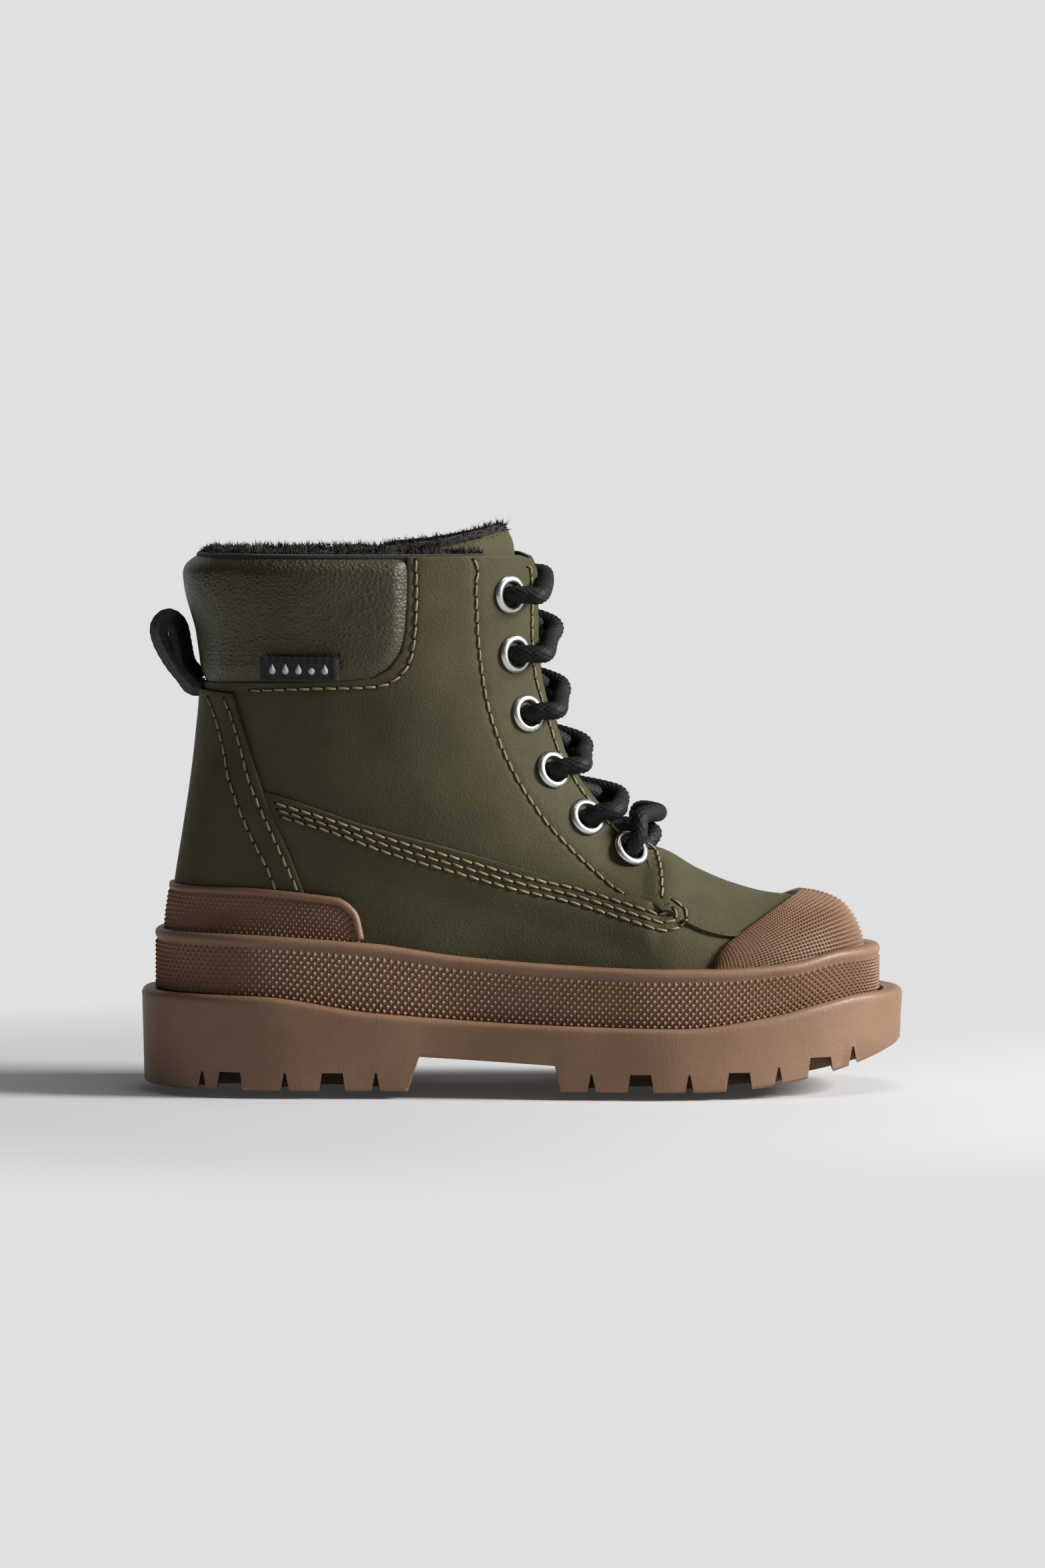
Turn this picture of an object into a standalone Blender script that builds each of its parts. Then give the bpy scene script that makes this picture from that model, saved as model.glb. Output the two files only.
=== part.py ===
"""A child's insulated lace-up winter boot for the right foot, as separate sewn and moulded pieces.

+X points to the toe, +Z up, and -Y is the outer (lateral) side. The origin is on the ground,
midway along the sole. Shape constants are in millimetres and meshes are written in metres.

The upper's outer face is one smooth surface: at a point (x, z) of the side view its half width is
half_width(x, z). Each panel is a patch of that surface, and each layer of the wall is the same
surface moved inwards.
"""

import math

import bmesh
import bpy
import numpy as np
from mathutils import Matrix, Vector

MM = 0.001
GAP = 0.4  # air between neighbouring pieces

# Sole heights
LUG_DEPTH = 5.2
ARCH_HEIGHT, ARCH_FALL = 9.7, 2.3
ARCH_ENDS = (-32.3, -29.1, 9.1, 10.7)  # heel block's front edge, then the forefoot's rear edge
BALL_X = 50.0  # where the toe starts to rise from the ground
TOE_SPRING_RADIUS = 146.0
VEE, BLOCK = 3.0, 7.4  # widths of the pointed and the square notches
NOTCHES = ((-90.5, VEE), (-82.6, BLOCK), (-67.0, VEE), (-53.6, BLOCK), (-41.3, VEE), (19.4, VEE),
           (33.2, BLOCK), (46.9, VEE), (61.0, BLOCK), (72.2, VEE), (84.2, BLOCK), (93.6, VEE))
OUTSOLE_COUNT = 76  # points round a ring of the outsole
CORE_BACK, CORE_FRONT, CORE_INSET, CORE_BOTTOM = -90, 84, 17.0, 11.6

# Sole outlines: heel and toe ends, and how far each stands outside the upper
OUTSOLE_BACK, OUTSOLE_FRONT, OUTSOLE_GROW = -108.9, 108.9, 9.4
MIDSOLE_BACK, MIDSOLE_FRONT, MIDSOLE_GROW = -105.0, 102.4, 5.0
UPPER_BACK, UPPER_FRONT = -100.2, 97.2
BLEND = 5.0  # rounding where the shaft meets the foot

# Wall of the upper, outside to inside, as distances inwards from the outer face
LEATHER = 1.2
STIFFENER_OUT, STIFFENER = 2.3, 0.5
EYESTAY_OUT, EYESTAY = 1.7, 0.4
MEMBRANE_OUT, MEMBRANE = 3.7, 0.4
INSULATION_OUT, INSULATION = 4.6, 1.0
LINING_OUT, LINING = 6.2, 1.0
STRIP_LINING_OUT = 3.3  # beside the throat the lining lies straight behind the eyelets
TONGUE_OUT = 10.2
TONGUE_LEATHER, TONGUE_PAD, TONGUE_LINING = 1.1, 1.6, 0.9

# Floor of the boot, as heights above the outsole's inner face
FLOOR = 2.1
FILLER_BOTTOM, FILLER_TOP = 2.5, 3.8
BOARD_BOTTOM, BOARD_TOP = 4.2, 5.6
SOCK_BOTTOM = 4.2  # the surface whose inner layers are membrane, insulation and lining
FOOTBED_BOTTOM, FOOTBED_THICK, FOOTBED_INSET = 10.0, 3.4, 11.2

# Throat and lacing
EDGE_Y = 14.0  # half distance between the two front edges of the quarters
THROAT_Z = 66.0
TOP_Z = 150.6
EYELET_OUTER, EYELET_HOLE, EYELET_BARREL = 11.0, 6.9, 7.8
EYELET_CUT = 8.6
EYELETS = ((-3.5, 139.5), (-2.2, 122.7), (1.5, 105.8), (8.5, 89.7), (18.3, 76.3), (30.1, 66.4))
LACE = 4.4
# Where a lace end goes under the top of the quarter: sideways, depth below the outer face, rise
TUCKED_END = ((9.4, 0.0, 0.2), (6.8, 4.4, 1.0), (9.4, 7.6, 1.8), (14.4, 7.4, 2.9), (18.0, 7.2, 4.0))
BAR_RISE = 10.0  # how far the bar across the lowest eyelets bows up
LACE_UNDER = 7.6  # depth of the lace's middle below the outer face where it passes under a quarter


# Joint axes pass through these points
TONGUE_PIVOT = (20.5, 0.0, 70.5)
LOOP_PIVOT = (-94.5, -1.4, 112.8)
FOOTBED_PIVOT = (86.0, 2.0, 31.0)


def smooth(*points):
    """A monotone cubic curve through (input, output) points, as a function of numpy arrays."""
    given = np.array([p[0] for p in points], float)
    value = np.array([p[1] for p in points], float)
    step = np.diff(given)
    slope = np.diff(value) / step
    tangent = np.zeros(len(given))
    tangent[0], tangent[-1] = slope[0], slope[-1]
    for i in range(1, len(given) - 1):
        if slope[i - 1] * slope[i] > 0:
            tangent[i] = 2 * slope[i - 1] * slope[i] / (slope[i - 1] + slope[i])

    def curve(at):
        at = np.clip(np.asarray(at, float), given[0], given[-1])
        i = np.clip(np.searchsorted(given, at) - 1, 0, len(given) - 2)
        t = (at - given[i]) / step[i]
        held = value[i] * (2 * t**3 - 3 * t**2 + 1) + value[i + 1] * (3 * t**2 - 2 * t**3)
        turned = tangent[i] * (t**3 - 2 * t**2 + t) + tangent[i + 1] * (t**3 - t**2)
        return held + step[i] * turned

    return curve


# Side view of the upper's outer face
back_x = smooth((15, -100.2), (34, -100.2), (44, -99.6), (55, -98.3), (72, -95.6), (85, -93.6),
                (98, -92.0), (113, -90.8), (128, -90.8), (140, -92.6), (151, -93.6))
throat_x = smooth((64, 42.6), (68.7, 38.5), (73, 34.4), (77.4, 30.4), (82.3, 25.8), (88, 21.0),
                  (94.3, 17.4), (103.4, 14.0), (112, 10.4), (118, 9.3), (126, 8.4), (138, 8.2),
                  (151, 7.6), (160, 7.0))
instep_z = smooth((-103, 54), (-60, 58), (-20, 63), (20, 68), (40, 65.8), (50, 60.4), (60, 56.2),
                  (70.7, 53.4), (82, 52.3), (86, 51.4), (90, 49.6), (93, 46.6), (95, 42.5),
                  (96.5, 36), (97.2, 28))
# Half widths: the shaft's by height, the foot's by length
shaft_half = smooth((15, 30), (50, 30), (66, 31), (90, 33), (113, 35.5), (151, 38))
shaft_front = smooth((15, 57), (40, 57), (50, 54), (60, 47), (66, 40.8))
foot_half = smooth((-110, 29.5), (-60, 29.5), (-20, 30), (20, 34.5), (45, 37.5), (110, 38))
# The toe leans to the inner side
centre_y = smooth((-110, -1.4), (0, -1.4), (60, 0.8), (110, 3.6))
# Rubber heights along the boot
rim_z = smooth((-110, 27), (-75, 26.6), (-42, 22), (10, 18.7), (45, 18), (70, 21), (85, 24.5),
               (97, 26.5), (109, 26.4))
inner_z = smooth((-110, 23.5), (-75, 23), (-42, 20), (10, 16.5), (48, 15.6), (72, 16.6), (100, 20.5))
foxing_z = smooth((-106, 44), (-80, 43.6), (-45.7, 41.6), (-15.7, 37.5), (10.6, 35.4), (40, 34.3),
                  (54, 34.3), (77, 35.8), (90.5, 38.6), (102, 39))
vamp_line = smooth((-96, 88), (-72.2, 83.7), (-42.6, 74.3), (-19.4, 68), (11.4, 59), (37.6, 52.1))


def closing(u, power):
    """1 at u = 0 and falling to 0 at u = 1, round like a superellipse."""
    u = np.clip(u, 0, 1)
    return (1 - u**power) ** (1 / power)


def plan_half(x, back, front, grow):
    """Half width of a sole outline that ends at back and front."""
    heel = closing((-58 - x) / (-58 - back), 2.4)
    toe = closing((x - 30) / (front - 30), 2.3)
    return (foot_half(x) + grow) * heel * toe


def steepness(curve, at):
    """How much longer a step square to the curve is when it is measured along the curve's value."""
    slope = curve(at + 0.5) - curve(at - 0.5)
    return np.minimum(np.sqrt(1 + slope**2), 1.5)


def half_width(x, z, out=0.0):
    """Half width of the upper at (x, z) of the side view, with the surface moved out by this much."""
    x, z = np.broadcast_arrays(np.asarray(x, float), np.asarray(z, float))
    low = 14.0
    top = instep_z(x) + out * steepness(instep_z, x)
    rise = (z - low) / np.maximum(top - low, 1e-6)
    dome = (1 - np.clip(rise, 0, 1) ** 3.0) ** 0.46
    foot = plan_half(x, UPPER_BACK - out, UPPER_FRONT + out, out) * dome
    back = back_x(z) - out
    open_front = throat_x(z) + out * (steepness(throat_x, z) - 1)
    front = np.where(z < THROAT_Z, shaft_front(z), open_front) + out
    middle = (back + front) / 2
    ahead = closing((x - middle) / (front - middle), 2.0)
    behind = closing((middle - x) / (middle - back), 2.5)
    shaft = (shaft_half(z) + out) * np.where(x > middle, ahead, behind)
    apart = np.abs(foot - shaft)
    fillet = np.maximum(BLEND - apart, 0) ** 2 / (4 * BLEND)
    return np.maximum(foot, shaft) + fillet * (np.minimum(foot, shaft) > 0)


def front_x(z, y, out=0.0):
    """Where the front of the upper, or a layer of it, is this far from the middle plane."""
    near, far = -40.0 + 0 * z, 110.0 + 0 * z
    for _ in range(40):
        middle = (near + far) / 2
        inside = half_width(middle, z, out) > abs(y)
        near, far = np.where(inside, middle, near), np.where(inside, far, middle)
    return near


def on_upper(x, z, side=-1):
    """A point of the outer face on the lateral side (-1) or the medial side (1)."""
    return Vector((float(x), float(centre_y(x) + side * half_width(x, z)), float(z)))


def upper_frame(x, z, side=-1):
    """That point, the outward normal, and the unit direction forward along the surface."""
    here = on_upper(x, z, side)
    forward = (on_upper(x + 0.5, z, side) - on_upper(x - 0.5, z, side)).normalized()
    up = on_upper(x, z + 0.5, side) - on_upper(x, z - 0.5, side)
    normal = forward.cross(up).normalized()
    if normal.y * side < 0:
        normal = -normal
    return here, normal, forward


# ---------------------------------------------------------------- making meshes


def material(name, colour, roughness, metallic=0.0):
    made = bpy.data.materials.new(name)
    made.use_nodes = True
    shader = made.node_tree.nodes["Principled BSDF"]
    shader.inputs["Base Color"].default_value = (*colour, 1)
    shader.inputs["Roughness"].default_value = roughness
    shader.inputs["Metallic"].default_value = metallic
    return made


def new_object(name, points, faces, look):
    mesh = bpy.data.meshes.new(name)
    mesh.from_pydata([[c * MM for c in p] for p in points], [], faces)
    mesh.materials.append(look)
    obj = bpy.data.objects.new(name, mesh)
    bpy.context.scene.collection.objects.link(obj)
    return obj


def clean(obj, push=0.0, outward_from=None):
    """Merge coincident points, face everything outwards, and move an open sheet along its normals."""
    sheet = bmesh.new()
    sheet.from_mesh(obj.data)
    bmesh.ops.remove_doubles(sheet, verts=sheet.verts, dist=0.00002)
    bmesh.ops.recalc_face_normals(sheet, faces=sheet.faces)
    if outward_from is not None:
        centre = Vector(outward_from) * MM
        facing = [(f.calc_center_median() - centre).dot(f.normal) * f.calc_area() for f in sheet.faces]
        if sum(facing) < 0:
            bmesh.ops.reverse_faces(sheet, faces=sheet.faces)
    sheet.normal_update()
    if push:
        moves = [(v, v.normal * push * MM) for v in sheet.verts]
        for vert, move in moves:
            vert.co += move
    sheet.to_mesh(obj.data)
    sheet.free()
    obj.data.shade_smooth()
    return obj


def thicken(obj, thickness):
    """Give an open sheet its thickness, inwards from the face that it has."""
    solid = obj.modifiers.new("thickness", "SOLIDIFY")
    solid.thickness = thickness * MM
    solid.offset = -1
    solid.use_even_offset = False
    return obj


def cut(obj, cutter):
    boolean = obj.modifiers.new("cut", "BOOLEAN")
    boolean.operation = "DIFFERENCE"
    boolean.object = cutter
    return obj


def as_cutter(obj):
    obj.hide_render = True
    obj.display_type = "WIRE"
    return obj


def grid_faces(rows, columns, closed=False):
    """Quads between rows of points, each row with the same number of columns."""
    wide = columns if closed else columns - 1
    return [
        (
            r * columns + c,
            r * columns + (c + 1) % columns,
            (r + 1) * columns + (c + 1) % columns,
            (r + 1) * columns + c,
        )
        for r in range(rows - 1)
        for c in range(wide)
    ]


def cross_strips(first, columns):
    """Quads across a closed row, from each point of one side to its partner on the other."""
    half = columns // 2
    strips = [(first, first + 1, first + columns - 1)]
    strips += [
        (first + j, first + j + 1, first + columns - j - 1, first + columns - j)
        for j in range(1, half - 1)
    ]
    strips.append((first + half - 1, first + half, first + half + 1))
    return strips


def resample(points, fractions):
    """Points at these fractions of a polyline's length."""
    points = np.array(points, float)
    along = np.concatenate([[0], np.cumsum(np.linalg.norm(np.diff(points, axis=0), axis=1))])
    at = np.asarray(fractions) * along[-1]
    return np.stack([np.interp(at, along, points[:, 0]), np.interp(at, along, points[:, 1])], -1)


def share_of(points, index):
    """How far along a polyline one of its points lies, from 0 to 1."""
    steps = np.linalg.norm(np.diff(np.array(points, float), axis=0), axis=1)
    return float(steps[:index].sum() / steps.sum())


def snapped(shares, corners):
    """The shares with the nearest one moved onto each corner."""
    for corner in corners:
        shares[1 + np.argmin(np.abs(shares[1:-1] - corner))] = corner
    return shares


def patch(bottom, top, left, right, columns, rows, ease_left=False, ease_right=False, corners=()):
    """A side-view grid of (x, z) points filling four boundary polylines (a Coons patch).

    bottom and top run from left to right, left and right from bottom to top. ease_ packs the
    columns towards an end that lies on the outline, where the surface turns away from the view.
    """
    u = np.linspace(0, 1, columns)
    if ease_left and ease_right:
        u = (1 - np.cos(math.pi * u)) / 2
    elif ease_left:
        u = 1 - np.cos(math.pi / 2 * u)
    elif ease_right:
        u = np.sin(math.pi / 2 * u)
    u = snapped(u, corners)
    v = np.linspace(0, 1, rows)
    b, t = resample(bottom, u), resample(top, u)
    lf, r = resample(left, v), resample(right, v)
    uu, vv = u[None, :, None], v[:, None, None]
    ruled = (1 - vv) * b[None] + vv * t[None] + (1 - uu) * lf[:, None] + uu * r[:, None]
    twice = (1 - vv) * ((1 - uu) * b[0] + uu * b[-1]) + vv * ((1 - uu) * t[0] + uu * t[-1])
    return ruled - twice


def lift(grid, side, flat_columns=()):
    """The 3-D points of a side-view grid. Columns on the outline lie in the middle plane."""
    x, z = grid[..., 0], grid[..., 1]
    half = half_width(x, z)
    for column in flat_columns:
        half[:, column] = 0
    return np.stack([x, centre_y(x) + side * half, z], -1)


def one_side_panel(name, grid, side, look, push, thickness):
    points = lift(grid, side)
    obj = new_object(name, points.reshape(-1, 3), grid_faces(*grid.shape[:2]), look)
    clean(obj, 0, (-20, 0, 80))
    clean(obj, push, (-20, 0, 80))
    return thicken(obj, thickness)


def wrapped_panel(name, grid, look, push, thickness, outline=(0,), outward_from=(-20, 0, 80)):
    """A panel on both sides, joined where its outline columns lie in the middle plane."""
    rows, columns = grid.shape[:2]
    both = np.concatenate([lift(grid, -1, outline), lift(grid, 1, outline)])
    faces = grid_faces(rows, columns)
    faces += [tuple(i + rows * columns for i in reversed(f)) for f in faces]
    obj = new_object(name, both.reshape(-1, 3), faces, look)
    clean(obj, 0, outward_from)
    clean(obj, push, outward_from)
    return thicken(obj, thickness)


def silhouette_back(low, high, steps):
    return [(float(back_x(z)), z) for z in np.linspace(low, high, steps)]


def silhouette_toe(steps, low=26.0):
    """From the toe's foot up over the toe and back to the throat."""
    run = [(float(x), float(instep_z(x))) for x in np.linspace(96.4, 40.2, steps)]
    return [(UPPER_FRONT, low), (UPPER_FRONT - 0.1, 32.0)] + run


# ---------------------------------------------------------------- rubber


def sole_ring(back, front, half, height, count, breaks=()):
    """A closed row round the sole: lateral side from heel to toe, then the medial side back.

    The nearest point that is still free is moved onto each break.
    """
    turn = np.linspace(0, math.pi, count // 2 + 1)
    x = back + (front - back) * (1 - np.cos(turn)) / 2
    moved = np.zeros(len(x), bool)
    for edge in breaks:
        nearest = np.argmin(np.where(moved, np.inf, np.abs(x - edge)))
        x[nearest] = edge
        moved[nearest] = True
    x.sort()
    wide = half(x)
    wide[0] = wide[-1] = 0
    z = height(x)
    lateral = np.stack([x, centre_y(x) - wide, z], -1)
    medial = np.stack([x, centre_y(x) + wide, z], -1)[-2:0:-1]
    return np.concatenate([lateral, medial])


def stacked_rings(name, rings, look):
    """A solid from closed rows, with strips across the first and the last."""
    count = len(rings[0])
    faces = grid_faces(len(rings), count, closed=True)
    faces += cross_strips(0, count)
    faces += [tuple(reversed(f)) for f in cross_strips((len(rings) - 1) * count, count)]
    return clean(new_object(name, np.concatenate(rings), faces, look))


def ground_z(x):
    """The tread's lower face: heel, arch, and a forefoot that rises towards the toe."""
    x = np.asarray(x, float)
    heel_low, heel_high, ball_high, ball_low = ARCH_ENDS
    heel_edge = np.clip((x - heel_low) / (heel_high - heel_low), 0, 1)
    ball_edge = np.clip((x - ball_high) / (ball_low - ball_high), 0, 1)
    arch = ARCH_HEIGHT - ARCH_FALL * np.clip((x - heel_high) / (ball_high - heel_high), 0, 1)
    rise = np.maximum(x - BALL_X, 0) ** 2 / (2 * TOE_SPRING_RADIUS)
    return np.where(x < 0, arch * heel_edge, arch * (1 - ball_edge)) + rise


def prism(profile, y_from, y_to):
    """Points and faces of an (x, z) outline extruded along Y."""
    count = len(profile)
    points = [(x, y, z) for y in (y_from, y_to) for x, z in profile]
    faces = [tuple(range(count)), tuple(range(2 * count - 1, count - 1, -1))]
    faces += [((i + 1) % count, i, i + count, (i + 1) % count + count) for i in range(count)]
    return points, faces


def notch_outline(x, width):
    """Side view of a notch: wider at the ground, pointed or flat on top."""
    low, top = float(ground_z(x)) - 4.0, float(ground_z(x)) + LUG_DEPTH
    narrow, spread = (0.15, 1.4) if width == VEE else (0.8, 1.15)
    ends = ((-spread, low), (spread, low), (narrow, top), (-narrow, top))
    return [(x + share * width / 2, z) for share, z in ends]


def tread_cutter():
    """Notches between the lugs, cut in from both sides of the tread."""
    points, faces = [], []
    for x, width in NOTCHES:
        depth = 15.0 if width == VEE else 22.0
        half = float(plan_half(np.array(x), OUTSOLE_BACK, OUTSOLE_FRONT, OUTSOLE_GROW))
        for side in (-1, 1):
            outer = float(centre_y(x)) + side * (half + 6)
            inner = float(centre_y(x)) + side * max(half - depth, 2.5)
            more, new = prism(notch_outline(x, width), min(outer, inner), max(outer, inner))
            faces += [tuple(i + len(points) for i in f) for f in new]
            points += more
    return as_cutter(clean(new_object("tread_cutter", points, faces, rubber)))


def core_solid(name, grow, over):
    """The foam core set into the outsole."""
    back, front = CORE_BACK - grow, CORE_FRONT + grow

    def half(x):
        return plan_half(x, OUTSOLE_BACK, OUTSOLE_FRONT, OUTSOLE_GROW) - CORE_INSET + grow

    rings = [
        sole_ring(back, front, half, lambda x: np.full_like(x, CORE_BOTTOM - grow), 32),
        sole_ring(back, front, half, lambda x: inner_z(x) - 0.3 + over, 32),
    ]
    return stacked_rings(name, rings, foam)


def outsole():
    """The cup sole: tread, side wall with a rounded ledge, and the seat of the midsole."""

    def outer(shrink, height):
        back, front = OUTSOLE_BACK + shrink, OUTSOLE_FRONT - shrink

        def half(x):
            return plan_half(x, back, front, OUTSOLE_GROW - shrink)

        return sole_ring(back, front, half, height, OUTSOLE_COUNT, ARCH_ENDS)

    def inner(height):
        return sole_ring(MIDSOLE_BACK - GAP, MIDSOLE_FRONT + GAP, outside_midsole, height, OUTSOLE_COUNT)

    rings = [
        outer(0.8, ground_z),
        outer(0.0, lambda x: rim_z(x) - 2.0),
        outer(0.5, lambda x: rim_z(x) - 0.6),
        outer(1.6, rim_z),
        inner(lambda x: rim_z(x) - 0.2),
        inner(inner_z),
    ]
    body = stacked_rings("outsole", rings, rubber)
    cut(body, tread_cutter())
    cut(body, as_cutter(core_solid("core_cutter", GAP, 6.0)))
    return body


def outside_midsole(x):
    return plan_half(x, MIDSOLE_BACK - GAP, MIDSOLE_FRONT + GAP, MIDSOLE_GROW + GAP)


def midsole_wall_gap(x):
    """The foxing stands off the upper where the heel rand and the toe cap go down behind it."""
    heel = 1 / (1 + np.exp((x + 38.0) * 0.8))
    toe = 1 / (1 + np.exp((44.0 - x) * 0.8))
    return GAP + 0.2 + 2.8 * heel + 2.3 * toe


def nose_x(z):
    """The foremost x of the upper at a height below the throat."""
    xs = np.linspace(UPPER_FRONT, 40.2, 200)
    return np.interp(z, instep_z(xs), xs)


def ring_outside_upper(height, count):
    """A closed row round the upper, standing off it by midsole_wall_gap."""
    turn = np.linspace(0, math.pi, count // 2 + 1)
    back, front = float(back_x(height(UPPER_BACK))), float(nose_x(height(np.array(UPPER_FRONT))))
    x = back + (front - back) * (1 - np.cos(turn)) / 2
    wide = half_width(x, height(x))
    wide[0] = wide[-1] = 0
    along_x, along_w = np.gradient(x), np.gradient(wide)
    along_x[0] = along_x[-1] = 0
    size = np.hypot(along_x, along_w)
    gap = midsole_wall_gap(x)
    x, wide = x - gap * along_w / size, wide + gap * along_x / size
    lateral = np.stack([x, centre_y(x) - wide, height(x)], -1)
    medial = np.stack([x, centre_y(x) + wide, height(x)], -1)[-2:0:-1]
    return np.concatenate([lateral, medial])


def midsole():
    """The cup-shaped midsole whose textured wall wraps the foot of the upper."""
    count = 72

    def outer(grow):
        back, front = MIDSOLE_BACK + MIDSOLE_GROW - grow, MIDSOLE_FRONT - MIDSOLE_GROW + grow
        return back, front, lambda x: plan_half(x, back, front, grow)

    rings = [
        sole_ring(*outer(MIDSOLE_GROW), lambda x: inner_z(x) + 0.35, count),
        sole_ring(*outer(MIDSOLE_GROW), lambda x: foxing_z(x) - 0.8, count),
        sole_ring(*outer(MIDSOLE_GROW - 0.7), foxing_z, count),
        ring_outside_upper(foxing_z, count),
        ring_outside_upper(lambda x: inner_z(x) + FLOOR, count),
    ]
    return stacked_rings("midsole", rings, rubber)


def heel_rand():
    bottom = [(float(back_x(30)), 30), (-44.5, 30)]
    top = [(float(back_x(55)), 55), (-75.7, 55.2), (-54.3, 53.5), (-50.2, 52.3), (-47.4, 49.4), (-46.6, 47)]
    right = [(-44.5, 30), (-45.7, 42), (-46.6, 47)]
    grid = patch(bottom, top, silhouette_back(30, 55, 6), right, 12, 5, ease_left=True)
    return wrapped_panel("heel_rand", grid, rubber, GAP + 2.4, 2.4)


def toe_cap():
    right = [(x, z) for x, z in silhouette_toe(40, low=28.0) if x >= 79.0]
    bottom = [(50.5, 28), (75, 28), (88, 28), (UPPER_FRONT, 28)]
    rear = [(53.8, 34.3), (55.4, 38), (57.6, 40.9), (64.4, 45.2), (69.8, 48.4), (75.5, 51.4), (78.4, 52.4)]
    top = rear + [(right[-1][0], right[-1][1])]
    left = [(50.5, 28), (53.8, 34.3)]
    grid = patch(bottom, top, left, right, 11, 7, ease_right=True)
    return wrapped_panel("toe_cap", grid, rubber, GAP + 1.6, 1.6, outline=(-1,), outward_from=(60, 0, 30))


# ---------------------------------------------------------------- upper


def throat_edge(low, high, steps, back_by=0.0):
    heights = np.linspace(low, high, steps)
    return list(zip(front_x(heights, EDGE_Y) - back_by, heights))


def quarter_front(back_by=0.0):
    """From the vamp line up the front edge to the top of the shaft."""
    foot = [(41.6, 52.2), (41.6, 57), (40.8, 61.5), (38.0, 65.2)]
    rise = throat_edge(69, 146, 16)
    corner = [(rise[-1][0] - 1.6, 149.3), (rise[-1][0] - 5, TOP_Z)]
    return [(x - back_by, z) for x, z in foot + rise + corner]


def quarter(name, side):
    front = quarter_front()
    xs = np.linspace(-92.5, 37.6, 20)
    bottom = [(float(x), float(vamp_line(x)) + 0.5) for x in xs] + [front[0]]
    top = [(float(back_x(112.4)), 112.4), (-59.8, 113.2), (-43.2, 113.8), (-36.0, 116.2), (-32.0, 121),
           (-30.6, 128), (-30.3, TOP_Z), (-18, TOP_Z), front[-1]]
    left = silhouette_back(88, 112.4, 6)
    left[0] = bottom[0]
    corner = share_of(top, 3)
    grid = patch(bottom, top, left, front, 15, 13, ease_left=True, ease_right=True, corners=(corner,))
    grid[:, 0, 0] += 0.5  # the two quarters stop short of each other at the back
    panel = one_side_panel(name, grid, side, nubuck, 0.0, LEATHER)
    return cut(panel, eyelet_cutter(side))


def vamp():
    xs = np.linspace(float(back_x(88)), 37.6, 24)
    top = [(float(x), float(vamp_line(x))) for x in xs]
    top += [(42.4, 51.0), (42.4, 57), (41.8, 61.5), (40.2, float(instep_z(40.2)))]
    bottom = [(float(back_x(27)), 27), (-40, 25), (10, 22), (60, 22), (UPPER_FRONT, 26)]
    left = silhouette_back(27, 88, 10)
    left[-1] = top[0]
    right = silhouette_toe(24)
    corner = share_of(top, len(xs))
    grid = patch(bottom, top, left, right, 24, 8, ease_left=True, ease_right=True, corners=(corner,))
    return wrapped_panel("vamp", grid, nubuck, 0.0, LEATHER, outline=(0, -1), outward_from=(0, 0, 40))


def backstay():
    edge = [(-61.8, 56.0), (-65.5, 65.6), (-69.8, 76.5), (-73.1, 84.1), (-76, 93.2), (-78.3, 101.3),
            (-81.0, 111.0)]
    bottom = [(float(back_x(56)), 56), edge[0]]
    top = [(float(back_x(111)), 111), edge[-1]]
    grid = patch(bottom, top, silhouette_back(56, 111, 9), edge, 8, 9, ease_left=True)
    return wrapped_panel("backstay", grid, nubuck, GAP + LEATHER, LEATHER)


def collar_grid(inset, columns=13, rows=6):
    low, high = 113.4 + inset, TOP_Z - 1.0 - inset
    front = -33.2 - inset
    bottom = [(float(back_x(low)), low), (-74, low + 1.6), (-50.3, low + 2.0), (-41.5, low + 3.2),
              (-36, low + 7)]
    right = [(-36, low + 7), (front - 0.4, low + 14), (front, high)]
    top = [(float(back_x(high)), high), (front, high)]
    return patch(bottom, top, silhouette_back(low, high, 6), right, columns, rows, ease_left=True)


def collar_pad():
    return wrapped_panel("collar_pad", collar_grid(0.0), leather, 1.9, 1.1)


def collar_foam():
    return wrapped_panel("collar_foam", collar_grid(1.0), foam, 0.4, 2.6)


def eyestay_reinforcement(name, side):
    heights = np.linspace(69, 148, 12)
    edge = front_x(heights, EDGE_Y)
    right = list(zip(edge - 1.2, heights))
    fall = 6.0 * (148 - heights) / 79
    left = list(zip(edge - 15.5 - 0.04 * (heights - 69), heights - fall))
    grid = patch([left[0], right[0]], [left[-1], right[-1]], left, right, 4, 12)
    panel = one_side_panel(name, grid, side, fabric, -EYESTAY_OUT, EYESTAY)
    return cut(panel, eyelet_cutter(side))


def heel_counter():
    bottom = [(float(back_x(30)), 30), (-52, 30)]
    top = [(float(back_x(78)), 78), (-78, 74), (-60, 60)]
    right = [(-52, 30), (-55, 45), (-60, 60)]
    grid = patch(bottom, top, silhouette_back(30, 78, 6), right, 8, 6, ease_left=True)
    return wrapped_panel("heel_counter", grid, board, -STIFFENER_OUT, STIFFENER)


def toe_puff():
    right = [(x, z) for x, z in silhouette_toe(30, low=30.0) if x >= 74.0]
    bottom = [(62, 30), (UPPER_FRONT, 30)]
    top = [(63, 38), (69, 47), right[-1]]
    left = [(62, 30), (63, 38)]
    grid = patch(bottom, top, left, right, 8, 6, ease_right=True)
    inside = (60, 0, 30)
    return wrapped_panel("toe_puff", grid, board, -STIFFENER_OUT, STIFFENER, outline=(-1,), outward_from=inside)


# ---------------------------------------------------------------- inner boot

SIDE_COLUMNS, STRIP_COLUMNS, NOSE_COLUMNS = 8, 2, 3
STRIP_WIDTH = 16.0
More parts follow.
